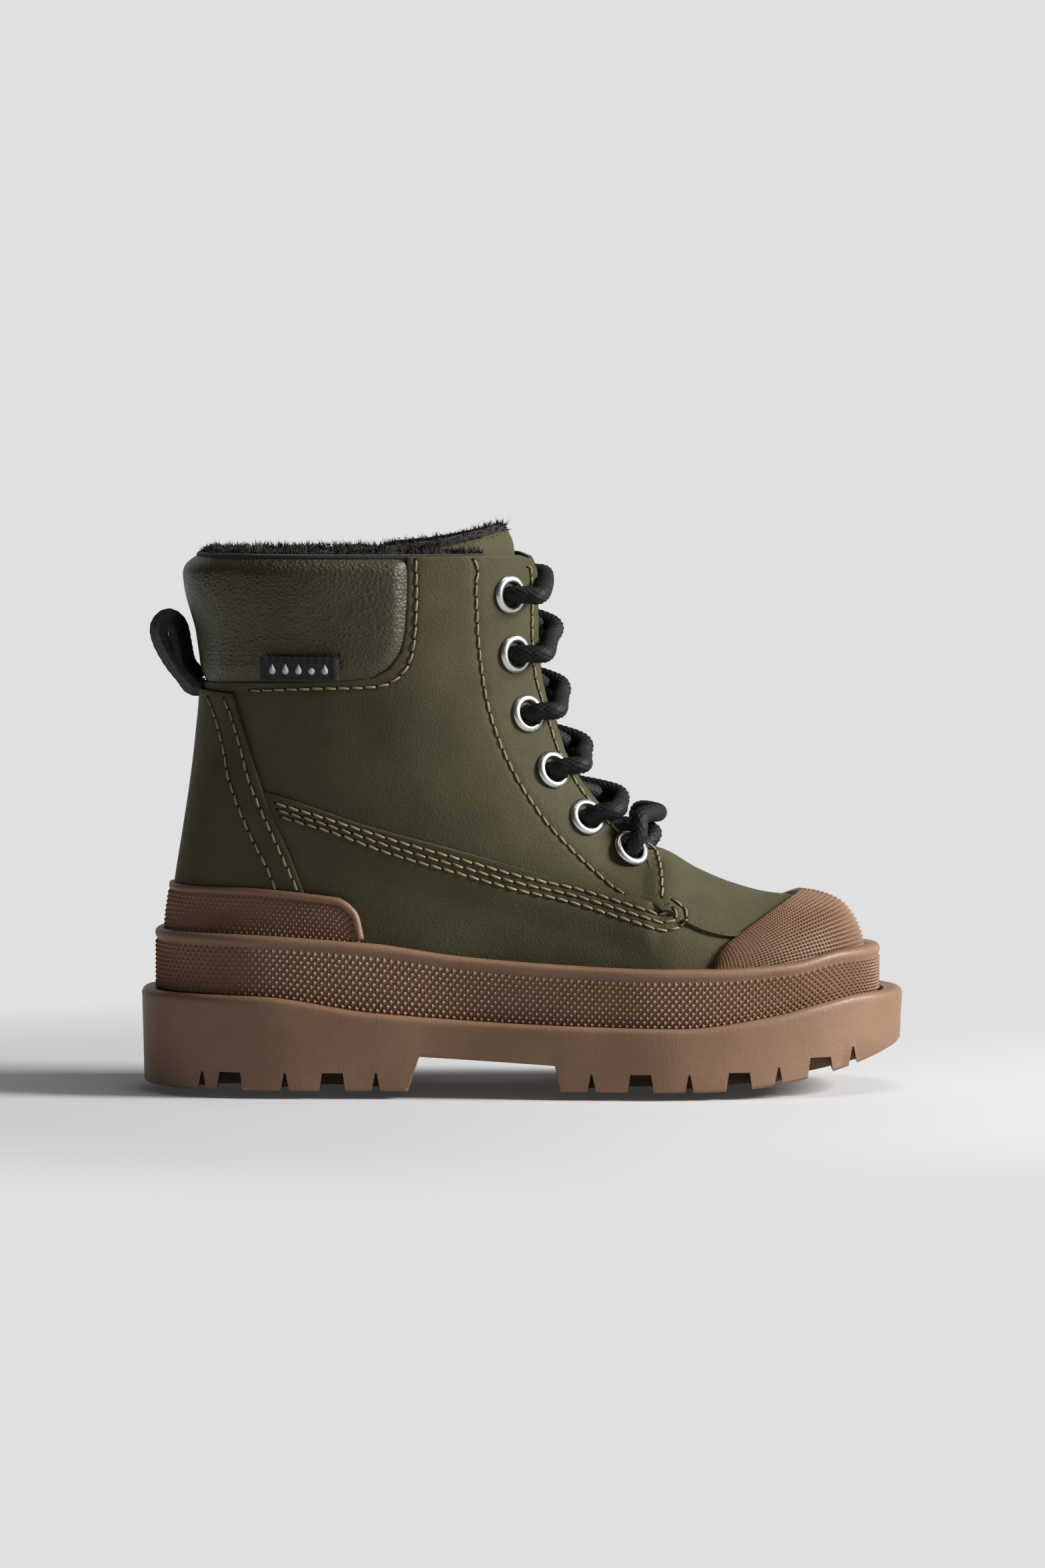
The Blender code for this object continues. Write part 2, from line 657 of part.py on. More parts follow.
# Each row of the inner boot rises from a height at the heel to a height at the front
SOCK_ROWS = ((38, 36), (48, 46), (55, 51.5), (61, 55), (67, 59.5), (76, 70), (87, 82), (104, 102),
             (126, 125), (149.6, 149.6))
OPEN_ROW = 5  # the first of SOCK_ROWS that doesn't close across the front


def sock_row(heel_z, front_z):
    """One side of a row of the upper's outer face, heel to front."""
    back = float(back_x(heel_z))
    front = nose_x(front_z) if front_z < THROAT_Z else throat_x(front_z)
    slope = (front_z - heel_z) / (float(front) - back)

    def height(x):
        return heel_z + slope * (x - back)

    def reach(y):
        near, far = back / 2, 105.0
        for _ in range(30):
            middle = (near + far) / 2
            wide = float(half_width(middle, height(middle))) > y
            near, far = (middle, far) if wide else (near, middle)
        return near

    edge, front = reach(EDGE_Y), reach(0.05)
    strip = edge - STRIP_WIDTH
    side = back + (strip - back) * (1 - np.cos(np.linspace(0, math.pi / 2, SIDE_COLUMNS)))
    ahead = np.linspace(strip, edge, STRIP_COLUMNS + 1)[1:]
    tip = edge + (front - edge) * np.sin(np.linspace(0, math.pi / 2, NOSE_COLUMNS + 1))[1:]
    x = np.concatenate([side, ahead, tip])
    wide = half_width(x, height(x))
    wide[0] = wide[-1] = 0
    return x, wide, height(x)


def sock(name, depth, thickness, look, strip_depth=None):
    """A foot-shaped layer: closed round the foot, open in front above the throat, and open on top."""
    x, wide, _ = sock_row(*SOCK_ROWS[0])
    rows = [(x, wide * 0.985, inner_z(x) + SOCK_BOTTOM)]
    rows += [sock_row(*row) for row in SOCK_ROWS]
    half = len(x) - 1
    count = 2 * half
    last_side = SIDE_COLUMNS - 1 + (STRIP_COLUMNS if strip_depth else 0)
    sheet = bmesh.new()
    verts, depths = [], {}
    for r, (x, wide, z) in enumerate(rows):
        places = [(x[j], centre_y(x[j]) - wide[j], z[j]) for j in range(half + 1)]
        places += [(x[j], centre_y(x[j]) + wide[j], z[j]) for j in range(half - 1, 0, -1)]
        row = [sheet.verts.new([float(c) * MM for c in place]) for place in places]
        for c, vert in enumerate(row):
            in_strip = strip_depth and r > OPEN_ROW and min(c, count - c) >= SIDE_COLUMNS
            depths[vert] = strip_depth if in_strip else depth
        verts.append(row)
    for strip in cross_strips(0, count):
        sheet.faces.new([verts[0][i] for i in strip])
    for r in range(len(rows) - 1):
        for c in range(count):
            if r >= OPEN_ROW and last_side <= c < count - last_side:
                continue
            follow = (c + 1) % count
            sheet.faces.new([verts[r][c], verts[r][follow], verts[r + 1][follow], verts[r + 1][c]])
    bmesh.ops.recalc_face_normals(sheet, faces=sheet.faces)
    bottom = min(sheet.faces, key=lambda f: f.calc_center_median().z)
    if bottom.normal.z > 0:
        bmesh.ops.reverse_faces(sheet, faces=sheet.faces)
    sheet.normal_update()
    for vert, deep in depths.items():
        vert.co -= vert.normal * deep * MM
    bmesh.ops.delete(sheet, geom=[v for v in sheet.verts if not v.link_faces], context="VERTS")
    mesh = bpy.data.meshes.new(name)
    sheet.to_mesh(mesh)
    sheet.free()
    mesh.materials.append(look)
    mesh.shade_smooth()
    obj = bpy.data.objects.new(name, mesh)
    bpy.context.scene.collection.objects.link(obj)
    return thicken(obj, thickness)


def floor_sheet(name, low, high, shrink, look):
    """A flat layer of the floor, following the outsole's inner face."""
    back, front = UPPER_BACK + shrink, UPPER_FRONT - shrink

    def half(x):
        return plan_half(x, back, front, -shrink)

    rings = [
        sole_ring(back, front, half, lambda x: inner_z(x) + low, 36),
        sole_ring(back, front, half, lambda x: inner_z(x) + high, 36),
    ]
    return stacked_rings(name, rings, look)


def shank_solid(name, grow, low, high, look):
    """A springy strip along the waist of the boot."""
    half = 7.0 + grow
    xs = np.linspace(-68 - grow, 22 + grow, 10)
    points = []
    for height in (low, high):
        for side in (-1, 1):
            points += [(x, float(centre_y(x)) + side * half, float(inner_z(x)) + height) for x in xs]
    n = len(xs)
    faces = []
    for i in range(n - 1):
        faces += [(i, n + i, n + i + 1, i + 1), (2 * n + i, 2 * n + i + 1, 3 * n + i + 1, 3 * n + i)]
        faces += [(i, i + 1, 2 * n + i + 1, 2 * n + i), (n + i, 3 * n + i, 3 * n + i + 1, n + i + 1)]
    faces += [(0, 2 * n, 3 * n, n), (n - 1, 2 * n - 1, 4 * n - 1, 3 * n - 1)]
    return clean(new_object(name, points, faces, look))


def bottom_filler():
    sheet = floor_sheet("bottom_filler", FILLER_BOTTOM, FILLER_TOP, 4.6, foam)
    return cut(sheet, as_cutter(shank_solid("shank_slot", GAP, FILLER_BOTTOM - 2, FILLER_TOP + 2, steel)))


# ---------------------------------------------------------------- tongue

TONGUE_HALF, TONGUE_TOP = 21.0, 157.6


def tongue_half(height):
    """Half width of the tongue: narrower at its base, with rounded top corners."""
    corner = max(0.0, (height - 148) / 10)
    return TONGUE_HALF * (0.66 + 0.34 * min(1.0, (height - 70) / 30)) * (1 - 0.25 * corner**2)


def tongue_layer(name, depth, thickness, look, first_row, last_row, spare_columns=0):
    """A layer of the tongue, lying behind the front edges of the quarters."""
    heights = np.linspace(71, TONGUE_TOP, 10)[first_row:last_row]
    shares = np.linspace(-1, 1, 9)[spare_columns : 9 - spare_columns]
    points = []
    for height in heights:
        for y in tongue_half(height) * shares:
            x = float(front_x(np.array(height), y, -depth))
            points.append((x, float(centre_y(x)) + y, height))
    obj = new_object(name, points, grid_faces(len(heights), len(shares)), look)
    clean(obj, 0, (-40, 0, 105))
    return thicken(obj, thickness)


def gusset(name, side):
    """The bellows that joins a tongue's edge to the quarter and keeps water out."""
    points = []
    heights = np.linspace(72, 108, 7)
    for height in heights:
        for beyond, depth in ((4.1, 8.2), (2.9, 9.6), (1.7, 9.8)):
            y = tongue_half(height) + beyond
            x = float(front_x(np.array(height), y, -depth))
            points.append((x, float(centre_y(x)) + side * y, height))
    obj = new_object(name, points, grid_faces(len(heights), 3), look=fabric)
    clean(obj, 0, (-40, 0, 90))
    return thicken(obj, 0.7)


# ---------------------------------------------------------------- lacing


def eyelet_seat(x, z, side):
    """The plane that an eyelet lies on: the middle of its flange and the outward normal."""
    reach = EYELET_OUTER / 2 - 1.0
    here = on_upper(x, z, side)
    across = on_upper(x + reach * 0.8, z, side) - on_upper(x - reach * 0.8, z, side)
    up = on_upper(x, z + reach, side) - on_upper(x, z - reach, side)
    normal = across.cross(up).normalized()
    if normal.y * side < 0:
        normal = -normal
    lift = 0.0
    for turn in np.linspace(0, 2 * math.pi, 13):
        rim = on_upper(x + reach * 0.8 * math.cos(turn), z + reach * math.sin(turn), side)
        lift = max(lift, (rim - here).dot(normal))
    return here + normal * 1.8 * lift, normal, across.normalized()


def eyelet_cutter(side):
    name = "eyelet_cutter_" + ("lateral" if side < 0 else "medial")
    if name in bpy.data.objects:
        return bpy.data.objects[name]
    sheet = bmesh.new()
    for x, z in EYELETS:
        here, normal, _ = eyelet_seat(x, z, side)
        place = Matrix.Translation(here * MM) @ normal.to_track_quat("Z", "Y").to_matrix().to_4x4()
        bmesh.ops.create_cone(sheet, cap_ends=True, segments=12, radius1=EYELET_CUT / 2 * MM,
                              radius2=EYELET_CUT / 2 * MM, depth=24 * MM, matrix=place)
    mesh = bpy.data.meshes.new(name)
    sheet.to_mesh(mesh)
    sheet.free()
    obj = bpy.data.objects.new(name, mesh)
    bpy.context.scene.collection.objects.link(obj)
    return as_cutter(obj)


def eyelet(name, x, z, side):
    """A rolled metal ring: front flange, barrel through the wall, and a back flange."""
    here, normal, _ = eyelet_seat(x, z, side)
    outer, hole, barrel = EYELET_OUTER / 2, EYELET_HOLE / 2, EYELET_BARREL / 2
    profile = [(hole, 1.0), (hole + 1.1, 1.5), (outer, 0.4),
               (barrel, 0.4), (barrel, -4.7), (outer - 1.2, -4.8), (hole, -5.1)]
    steps = 12
    points = []
    for i in range(steps):
        turn = 2 * math.pi * i / steps
        points += [(r * math.cos(turn), r * math.sin(turn), h) for r, h in profile]
    n = len(profile)
    faces = []
    for i in range(steps):
        ahead = (i + 1) % steps
        for j in range(n):
            k = (j + 1) % n
            faces.append((i * n + j, ahead * n + j, ahead * n + k, i * n + k))
    obj = clean(new_object(name, points, faces, steel))
    obj.matrix_world = Matrix.Translation(here * MM) @ normal.to_track_quat("Z", "Y").to_matrix().to_4x4()
    return obj


def lace_station(level, side):
    x, z = EYELETS[level]
    return eyelet_seat(x, z, side)


def lace_out(level, side):
    """From under the quarter, out through an eyelet and over the front edge."""
    here, normal, forward = lace_station(level, side)
    return [
        here - normal * LACE_UNDER + forward * 0.9,
        here - normal * 2.6,
        here + normal * 1.2 + forward * 0.1,
        here + normal * 4.2 + forward * 2.2,
        here + normal * 5.7 + forward * 6.5,
    ]


def crossing(level, side, high):
    """Over the tongue from one side's eyelet and under the other side to its next one up."""
    from_z, to_z = EYELETS[level][1], EYELETS[level - 1][1]
    points = []
    for share, y, out in ((0.2, 8.0, 0.4), (0.44, 0.0, 0.6 if high else -4.4), (0.64, -8.6, -6.9)):
        z = from_z + (to_z - from_z) * share
        x = float(front_x(np.array(z), y, out))
        points.append(Vector((x, float(centre_y(x)) + side * y, z)))
    here, normal, forward = lace_station(level - 1, -side)
    up = normal.cross(forward)
    if up.z < 0:
        up = -up
    points.append(here - normal * LACE_UNDER + forward * 4.6 - up * 4.4)
    return points


def lace_route():
    """One cord: a bar across the lowest eyelets, then both ends crossing up to the highest."""
    lowest = len(EYELETS) - 1

    def half(side):
        here, normal, forward = lace_station(lowest, side)
        up = normal.cross(forward) * -side
        run = [
            here + normal * 5.3 + forward * 3.4 + up * 7.4,
            here + normal * 4.3 + forward * 0.9 + up * 2.4,
            here + normal * 0.6,
            here - normal * 2.8,
            here - normal * LACE_UNDER + forward * 1.0,
        ]
        run += crossing(lowest, side, side < 0)[1:]
        at = -side
        for level in range(lowest - 1, -1, -1):
            run += lace_out(level, at)
            if level:
                run += crossing(level, at, at < 0)
                at = -at
        top = EYELETS[0][1] + 4.5
        for y, depth, rise in TUCKED_END:
            x = float(front_x(np.array(top + rise), y, -depth))
            run.append(Vector((x, float(centre_y(x)) + at * y, top + rise)))
        return run

    bar_z = EYELETS[lowest][1] + BAR_RISE
    bar_x = float(front_x(np.array(bar_z), 0.0, 5.6))
    bar = [Vector((bar_x, float(centre_y(bar_x)), bar_z))]
    return list(reversed(half(-1))) + bar + half(1)


def smooth_route(points, spacing):
    """Even points along a smooth curve through these points."""
    run = []
    for i in range(len(points) - 1):
        before, here = points[max(i - 1, 0)], points[i]
        there, after = points[i + 1], points[min(i + 2, len(points) - 1)]
        for s in range(12):
            t = s / 12
            pull_in, pull_out = (there - before) / 2, (after - here) / 2
            place = here * (2 * t**3 - 3 * t**2 + 1) + there * (3 * t**2 - 2 * t**3)
            run.append(place + pull_in * (t**3 - 2 * t**2 + t) + pull_out * (t**3 - t**2))
    run.append(points[-1])
    far = [0.0]
    for a, b in zip(run, run[1:]):
        far.append(far[-1] + (b - a).length)
    count = max(2, round(far[-1] / spacing))
    even = []
    for i in range(count + 1):
        at = far[-1] * i / count
        j = min(int(np.searchsorted(far, at)), len(run) - 1)
        share = (at - far[j - 1]) / max(far[j] - far[j - 1], 1e-9) if j else 0.0
        even.append(run[j - 1].lerp(run[j], share) if j else run[0])
    return even


def tube(name, points, thick, look, sides=2):
    curve = bpy.data.curves.new(name, "CURVE")
    curve.dimensions = "3D"
    curve.bevel_depth = thick / 2 * MM
    curve.bevel_resolution = sides
    curve.use_fill_caps = True
    spline = curve.splines.new("POLY")
    spline.points.add(len(points) - 1)
    for point, place in zip(spline.points, points):
        point.co = (*(place * MM), 1)
    curve.materials.append(look)
    obj = bpy.data.objects.new(name, curve)
    bpy.context.scene.collection.objects.link(obj)
    return obj


# ---------------------------------------------------------------- loop and label

LOOP_THICK, LOOP_HALF = 1.8, 5.5
LOOP_ROUTE = ((-94.3, 112.6), (-96.6, 115.4), (-100.2, 120.0), (-103.2, 125.6), (-103.7, 129.6),
              (-101.3, 131.8), (-98.6, 129.8), (-97.4, 124.6), (-96.6, 120.4), (-95.3, 117.6))
LABEL_WIDE, LABEL_TALL, LABEL_THICK = 22.8, 7.2, 0.9
LABEL_X, LABEL_Z, LABEL_STAND = -62.1, 119.2, 3.4  # its middle, and how far it stands off the upper


def heel_loop():
    """A folded webbing loop, sewn in under the collar at the back."""
    count = len(LOOP_ROUTE)
    points = []
    for i, (x, z) in enumerate(LOOP_ROUTE):
        ahead, behind = LOOP_ROUTE[min(i + 1, count - 1)], LOOP_ROUTE[max(i - 1, 0)]
        along = Vector((ahead[0] - behind[0], ahead[1] - behind[1])).normalized()
        across = Vector((-along.y, along.x)) * (LOOP_THICK / 2)
        middle = float(centre_y(x))
        for turn, y in ((1, -LOOP_HALF), (1, LOOP_HALF), (-1, LOOP_HALF), (-1, -LOOP_HALF)):
            points.append((x + turn * across.x, middle + y, z + turn * across.y))
    faces = grid_faces(count, 4, closed=True)
    faces += [(0, 3, 2, 1), tuple(range(4 * count - 4, 4 * count))]
    return clean(new_object("heel_loop", points, faces, webbing))


def label():
    """A small woven label, sewn along its lower edge into the seam under the collar."""
    here, normal, forward = upper_frame(LABEL_X, LABEL_Z, -1)
    up = normal.cross(forward)
    mesh = bpy.data.meshes.new("label")
    sheet = bmesh.new()
    bmesh.ops.create_cube(sheet, size=1.0)
    size = Vector((LABEL_WIDE, LABEL_THICK, LABEL_TALL)) * MM
    bmesh.ops.scale(sheet, vec=size, verts=sheet.verts)
    bmesh.ops.translate(sheet, vec=(0, 0, LABEL_TALL / 2 * MM), verts=sheet.verts)
    sheet.to_mesh(mesh)
    sheet.free()
    mesh.materials.append(webbing)
    obj = bpy.data.objects.new("label", mesh)
    bpy.context.scene.collection.objects.link(obj)
    edge = here + normal * LABEL_STAND - up * (LABEL_TALL / 2)
    turn = Matrix((forward, -normal, up)).transposed().to_4x4()
    obj.matrix_world = Matrix.Translation(edge * MM) @ turn
    return obj


def hang(name, place, *objects):
    """An empty at a joint, holding the pieces that turn about it."""
    pivot = bpy.data.objects.new(name, None)
    bpy.context.scene.collection.objects.link(pivot)
    pivot.matrix_world = Matrix.Translation(Vector(place) * MM)
    for obj in objects:
        obj.parent = pivot
        obj.matrix_parent_inverse = pivot.matrix_world.inverted()


# ---------------------------------------------------------------- the boot

for old in list(bpy.data.objects):
    bpy.data.objects.remove(old)

rubber = material("gum_rubber", (0.20, 0.10, 0.06), 0.6)
nubuck = material("olive_nubuck", (0.050, 0.048, 0.028), 0.8)
leather = material("olive_leather", (0.045, 0.043, 0.026), 0.5)
fabric = material("dark_fabric", (0.02, 0.02, 0.018), 0.9)
pile = material("dark_pile", (0.015, 0.011, 0.009), 1.0)
webbing = material("black_webbing", (0.010, 0.010, 0.010), 0.85)
foam = material("foam", (0.35, 0.33, 0.28), 0.9)
board = material("fibre_board", (0.30, 0.24, 0.17), 0.85)
cord = material("lace_cord", (0.010, 0.010, 0.010), 0.8)
steel = material("polished_steel", (0.55, 0.55, 0.54), 0.25, 1.0)

outsole()
core_solid("midsole_core", 0.0, 0.0)
midsole()
heel_rand()
toe_cap()

bottom_filler()
shank_solid("shank", 0.0, FILLER_BOTTOM, FILLER_TOP, steel)
floor_sheet("insole_board", BOARD_BOTTOM, BOARD_TOP, 3.4, board)

vamp()
for word, at_side in (("lateral", -1), ("medial", 1)):
    quarter("quarter_" + word, at_side)
    eyestay_reinforcement("eyestay_reinforcement_" + word, at_side)
backstay()
collar_pad()
collar_foam()
heel_counter()
toe_puff()

sock("waterproof_membrane", MEMBRANE_OUT, MEMBRANE, fabric)
sock("insulation", INSULATION_OUT, INSULATION, foam)
sock("lining", LINING_OUT, LINING, pile, STRIP_LINING_OUT)
for word, at_side in (("lateral", -1), ("medial", 1)):
    cut(bpy.data.objects["lining"], eyelet_cutter(at_side))
footbed = floor_sheet("footbed", FOOTBED_BOTTOM, FOOTBED_BOTTOM + FOOTBED_THICK, FOOTBED_INSET, pile)

padding_out = TONGUE_OUT + TONGUE_LEATHER + 0.5
lining_out = TONGUE_OUT + TONGUE_LEATHER + TONGUE_PAD + 1.0
tongue_parts = (
    tongue_layer("tongue", TONGUE_OUT, TONGUE_LEATHER, nubuck, 0, 10),
    tongue_layer("tongue_padding", padding_out, TONGUE_PAD, foam, 1, 9, 1),
    tongue_layer("tongue_lining", lining_out, TONGUE_LINING, pile, 0, 10, 1),
)
for word, at_side in (("lateral", -1), ("medial", 1)):
    gusset("gusset_" + word, at_side)
    for number, (eyelet_x, eyelet_z) in enumerate(EYELETS, 1):
        eyelet(f"eyelet_{word}_{number}", eyelet_x, eyelet_z, at_side)

tube("lace", smooth_route(lace_route(), 5.8), LACE, cord)

hang("tongue_pivot", TONGUE_PIVOT, *tongue_parts)
hang("heel_loop_pivot", LOOP_PIVOT, heel_loop())
hang("footbed_pivot", FOOTBED_PIVOT, footbed)
label()
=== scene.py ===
import math

import bmesh
import bpy
import numpy as np
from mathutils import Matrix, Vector


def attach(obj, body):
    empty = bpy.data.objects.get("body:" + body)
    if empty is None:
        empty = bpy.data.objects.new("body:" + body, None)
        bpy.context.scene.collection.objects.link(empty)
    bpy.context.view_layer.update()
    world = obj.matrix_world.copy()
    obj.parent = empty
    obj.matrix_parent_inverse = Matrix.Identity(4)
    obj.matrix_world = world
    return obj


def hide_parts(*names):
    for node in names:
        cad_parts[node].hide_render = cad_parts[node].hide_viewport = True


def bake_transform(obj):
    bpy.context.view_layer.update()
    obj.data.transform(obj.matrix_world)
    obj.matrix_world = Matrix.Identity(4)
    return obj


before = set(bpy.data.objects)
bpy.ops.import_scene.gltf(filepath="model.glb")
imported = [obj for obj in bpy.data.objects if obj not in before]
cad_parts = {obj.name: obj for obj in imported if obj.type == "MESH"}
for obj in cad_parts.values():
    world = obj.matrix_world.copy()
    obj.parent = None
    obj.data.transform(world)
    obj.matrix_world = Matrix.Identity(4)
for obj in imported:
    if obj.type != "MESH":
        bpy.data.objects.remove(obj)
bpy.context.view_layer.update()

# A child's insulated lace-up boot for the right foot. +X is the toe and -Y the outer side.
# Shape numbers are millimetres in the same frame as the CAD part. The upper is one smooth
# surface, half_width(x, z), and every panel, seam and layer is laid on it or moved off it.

MM = 0.001

# Sole heights
LUG_DEPTH = 5.2
ARCH_HEIGHT, ARCH_FALL = 9.7, 2.3
ARCH_ENDS = (-32.3, -29.1, 9.1, 10.7)  # heel block's front edge, then the forefoot's rear edge
BALL_X = 50.0  # where the toe starts to rise from the ground
TOE_SPRING_RADIUS = 146.0
VEE, BLOCK = 3.0, 7.4  # widths of the pointed and the square notches
NOTCHES = ((-90.5, VEE), (-82.6, BLOCK), (-67.0, VEE), (-53.6, BLOCK), (-41.3, VEE), (19.4, VEE),
           (33.2, BLOCK), (46.9, VEE), (61.0, BLOCK), (72.2, VEE), (84.2, BLOCK), (93.6, VEE))

# Sole outlines: heel and toe ends, and how far each stands outside the upper
OUTSOLE_BACK, OUTSOLE_FRONT, OUTSOLE_GROW = -108.9, 108.9, 9.4
MIDSOLE_BACK, MIDSOLE_FRONT, MIDSOLE_GROW = -105.0, 102.4, 5.0
UPPER_BACK, UPPER_FRONT = -100.2, 97.2
BLEND = 5.0  # rounding where the shaft meets the foot

# Wall of the upper, outside to inside, as distances inwards from the outer face
TONGUE_OUT = 10.2

FOOTBED_BOTTOM, FOOTBED_THICK, FOOTBED_INSET = 10.0, 3.4, 11.2

# Throat and lacing
EDGE_Y = 14.0  # half distance between the two front edges of the quarters
THROAT_Z = 66.0
TOP_Z = 150.6
EYELET_OUTER, EYELET_HOLE = 11.0, 6.9
EYELETS = ((-3.5, 139.5), (-2.2, 122.7), (1.5, 105.8), (8.5, 89.7), (18.3, 76.3), (30.1, 66.4))
# Where a lace end goes under the top of the quarter: sideways, depth below the outer face, rise
TUCKED_END = ((9.4, 0.0, 0.2), (6.8, 4.4, 1.0), (9.4, 7.6, 1.8), (14.4, 7.4, 2.9), (18.0, 7.2, 4.0))
BAR_RISE = 10.0  # how far the bar across the lowest eyelets bows up
LACE_UNDER = 7.6  # depth of the lace's middle below the outer face where it passes under a quarter


def smooth(*points):
    """A monotone cubic curve through (input, output) points, as a function of numpy arrays."""
    given = np.array([p[0] for p in points], float)
    value = np.array([p[1] for p in points], float)
    step = np.diff(given)
    slope = np.diff(value) / step
    tangent = np.zeros(len(given))
    tangent[0], tangent[-1] = slope[0], slope[-1]
    for i in range(1, len(given) - 1):
        if slope[i - 1] * slope[i] > 0:
            tangent[i] = 2 * slope[i - 1] * slope[i] / (slope[i - 1] + slope[i])

    def curve(at):
        at = np.clip(np.asarray(at, float), given[0], given[-1])
        i = np.clip(np.searchsorted(given, at) - 1, 0, len(given) - 2)
        t = (at - given[i]) / step[i]
        held = value[i] * (2 * t**3 - 3 * t**2 + 1) + value[i + 1] * (3 * t**2 - 2 * t**3)
        turned = tangent[i] * (t**3 - 2 * t**2 + t) + tangent[i + 1] * (t**3 - t**2)
        return held + step[i] * turned

    return curve


# Side view of the upper's outer face
back_x = smooth((15, -100.2), (34, -100.2), (44, -99.6), (55, -98.3), (72, -95.6), (85, -93.6),
                (98, -92.0), (113, -90.8), (128, -90.8), (140, -92.6), (151, -93.6))
throat_x = smooth((64, 42.6), (68.7, 38.5), (73, 34.4), (77.4, 30.4), (82.3, 25.8), (88, 21.0),
                  (94.3, 17.4), (103.4, 14.0), (112, 10.4), (118, 9.3), (126, 8.4), (138, 8.2),
                  (151, 7.6), (160, 7.0))
instep_z = smooth((-103, 54), (-60, 58), (-20, 63), (20, 68), (40, 65.8), (50, 60.4), (60, 56.2),
                  (70.7, 53.4), (82, 52.3), (86, 51.4), (90, 49.6), (93, 46.6), (95, 42.5),
                  (96.5, 36), (97.2, 28))
# Half widths: the shaft's by height, the foot's by length
shaft_half = smooth((15, 30), (50, 30), (66, 31), (90, 33), (113, 35.5), (151, 38))
shaft_front = smooth((15, 57), (40, 57), (50, 54), (60, 47), (66, 40.8))
foot_half = smooth((-110, 29.5), (-60, 29.5), (-20, 30), (20, 34.5), (45, 37.5), (110, 38))
# The toe leans to the inner side
centre_y = smooth((-110, -1.4), (0, -1.4), (60, 0.8), (110, 3.6))
# Rubber heights along the boot
rim_z = smooth((-110, 27), (-75, 26.6), (-42, 22), (10, 18.7), (45, 18), (70, 21), (85, 24.5),
               (97, 26.5), (109, 26.4))
inner_z = smooth((-110, 23.5), (-75, 23), (-42, 20), (10, 16.5), (48, 15.6), (72, 16.6), (100, 20.5))
foxing_z = smooth((-106, 44), (-80, 43.6), (-45.7, 41.6), (-15.7, 37.5), (10.6, 35.4), (40, 34.3),
                  (54, 34.3), (77, 35.8), (90.5, 38.6), (102, 39))
vamp_line = smooth((-96, 88), (-72.2, 83.7), (-42.6, 74.3), (-19.4, 68), (11.4, 59), (37.6, 52.1))


def closing(u, power):
    """1 at u = 0 and falling to 0 at u = 1, round like a superellipse."""
    u = np.clip(u, 0, 1)
    return (1 - u**power) ** (1 / power)


def plan_half(x, back, front, grow):
    """Half width of a sole outline that ends at back and front."""
    heel = closing((-58 - x) / (-58 - back), 2.4)
    toe = closing((x - 30) / (front - 30), 2.3)
    return (foot_half(x) + grow) * heel * toe


def steepness(curve, at):
    """How much longer a step square to the curve is when it is measured along the curve's value."""
    slope = curve(at + 0.5) - curve(at - 0.5)
    return np.minimum(np.sqrt(1 + slope**2), 1.5)


def half_width(x, z, out=0.0):
    """Half width of the upper at (x, z) of the side view, with the surface moved out by this much."""
    x, z = np.broadcast_arrays(np.asarray(x, float), np.asarray(z, float))
    low = 14.0
    top = instep_z(x) + out * steepness(instep_z, x)
    rise = (z - low) / np.maximum(top - low, 1e-6)
    dome = (1 - np.clip(rise, 0, 1) ** 3.0) ** 0.46
    foot = plan_half(x, UPPER_BACK - out, UPPER_FRONT + out, out) * dome
    back = back_x(z) - out
    open_front = throat_x(z) + out * (steepness(throat_x, z) - 1)
    front = np.where(z < THROAT_Z, shaft_front(z), open_front) + out
    middle = (back + front) / 2
    ahead = closing((x - middle) / (front - middle), 2.0)
    behind = closing((middle - x) / (middle - back), 2.5)
    shaft = (shaft_half(z) + out) * np.where(x > middle, ahead, behind)
    apart = np.abs(foot - shaft)
    fillet = np.maximum(BLEND - apart, 0) ** 2 / (4 * BLEND)
    return np.maximum(foot, shaft) + fillet * (np.minimum(foot, shaft) > 0)


def front_x(z, y, out=0.0):
    """Where the front of the upper, or a layer of it, is this far from the middle plane."""
    near, far = -40.0 + 0 * z, 110.0 + 0 * z
    for _ in range(40):
        middle = (near + far) / 2
        inside = half_width(middle, z, out) > abs(y)
        near, far = np.where(inside, middle, near), np.where(inside, far, middle)
    return near


def on_upper(x, z, side=-1):
    """A point of the outer face on the lateral side (-1) or the medial side (1)."""
    return Vector((float(x), float(centre_y(x) + side * half_width(x, z)), float(z)))


def upper_frame(x, z, side=-1):
    """That point, the outward normal, and the unit direction forward along the surface."""
    here = on_upper(x, z, side)
    forward = (on_upper(x + 0.5, z, side) - on_upper(x - 0.5, z, side)).normalized()
    up = on_upper(x, z + 0.5, side) - on_upper(x, z - 0.5, side)
    normal = forward.cross(up).normalized()
    if normal.y * side < 0:
        normal = -normal
    return here, normal, forward


# ---------------------------------------------------------------- side-view outlines


def resample(points, fractions):
    """Points at these fractions of a polyline's length."""
    points = np.array(points, float)
    along = np.concatenate([[0], np.cumsum(np.linalg.norm(np.diff(points, axis=0), axis=1))])
    at = np.asarray(fractions) * along[-1]
    return np.stack([np.interp(at, along, points[:, 0]), np.interp(at, along, points[:, 1])], -1)


def share_of(points, index):
    """How far along a polyline one of its points lies, from 0 to 1."""
    steps = np.linalg.norm(np.diff(np.array(points, float), axis=0), axis=1)
    return float(steps[:index].sum() / steps.sum())


def snapped(shares, corners):
    """The shares with the nearest one moved onto each corner."""
    for corner in corners:
        shares[1 + np.argmin(np.abs(shares[1:-1] - corner))] = corner
    return shares


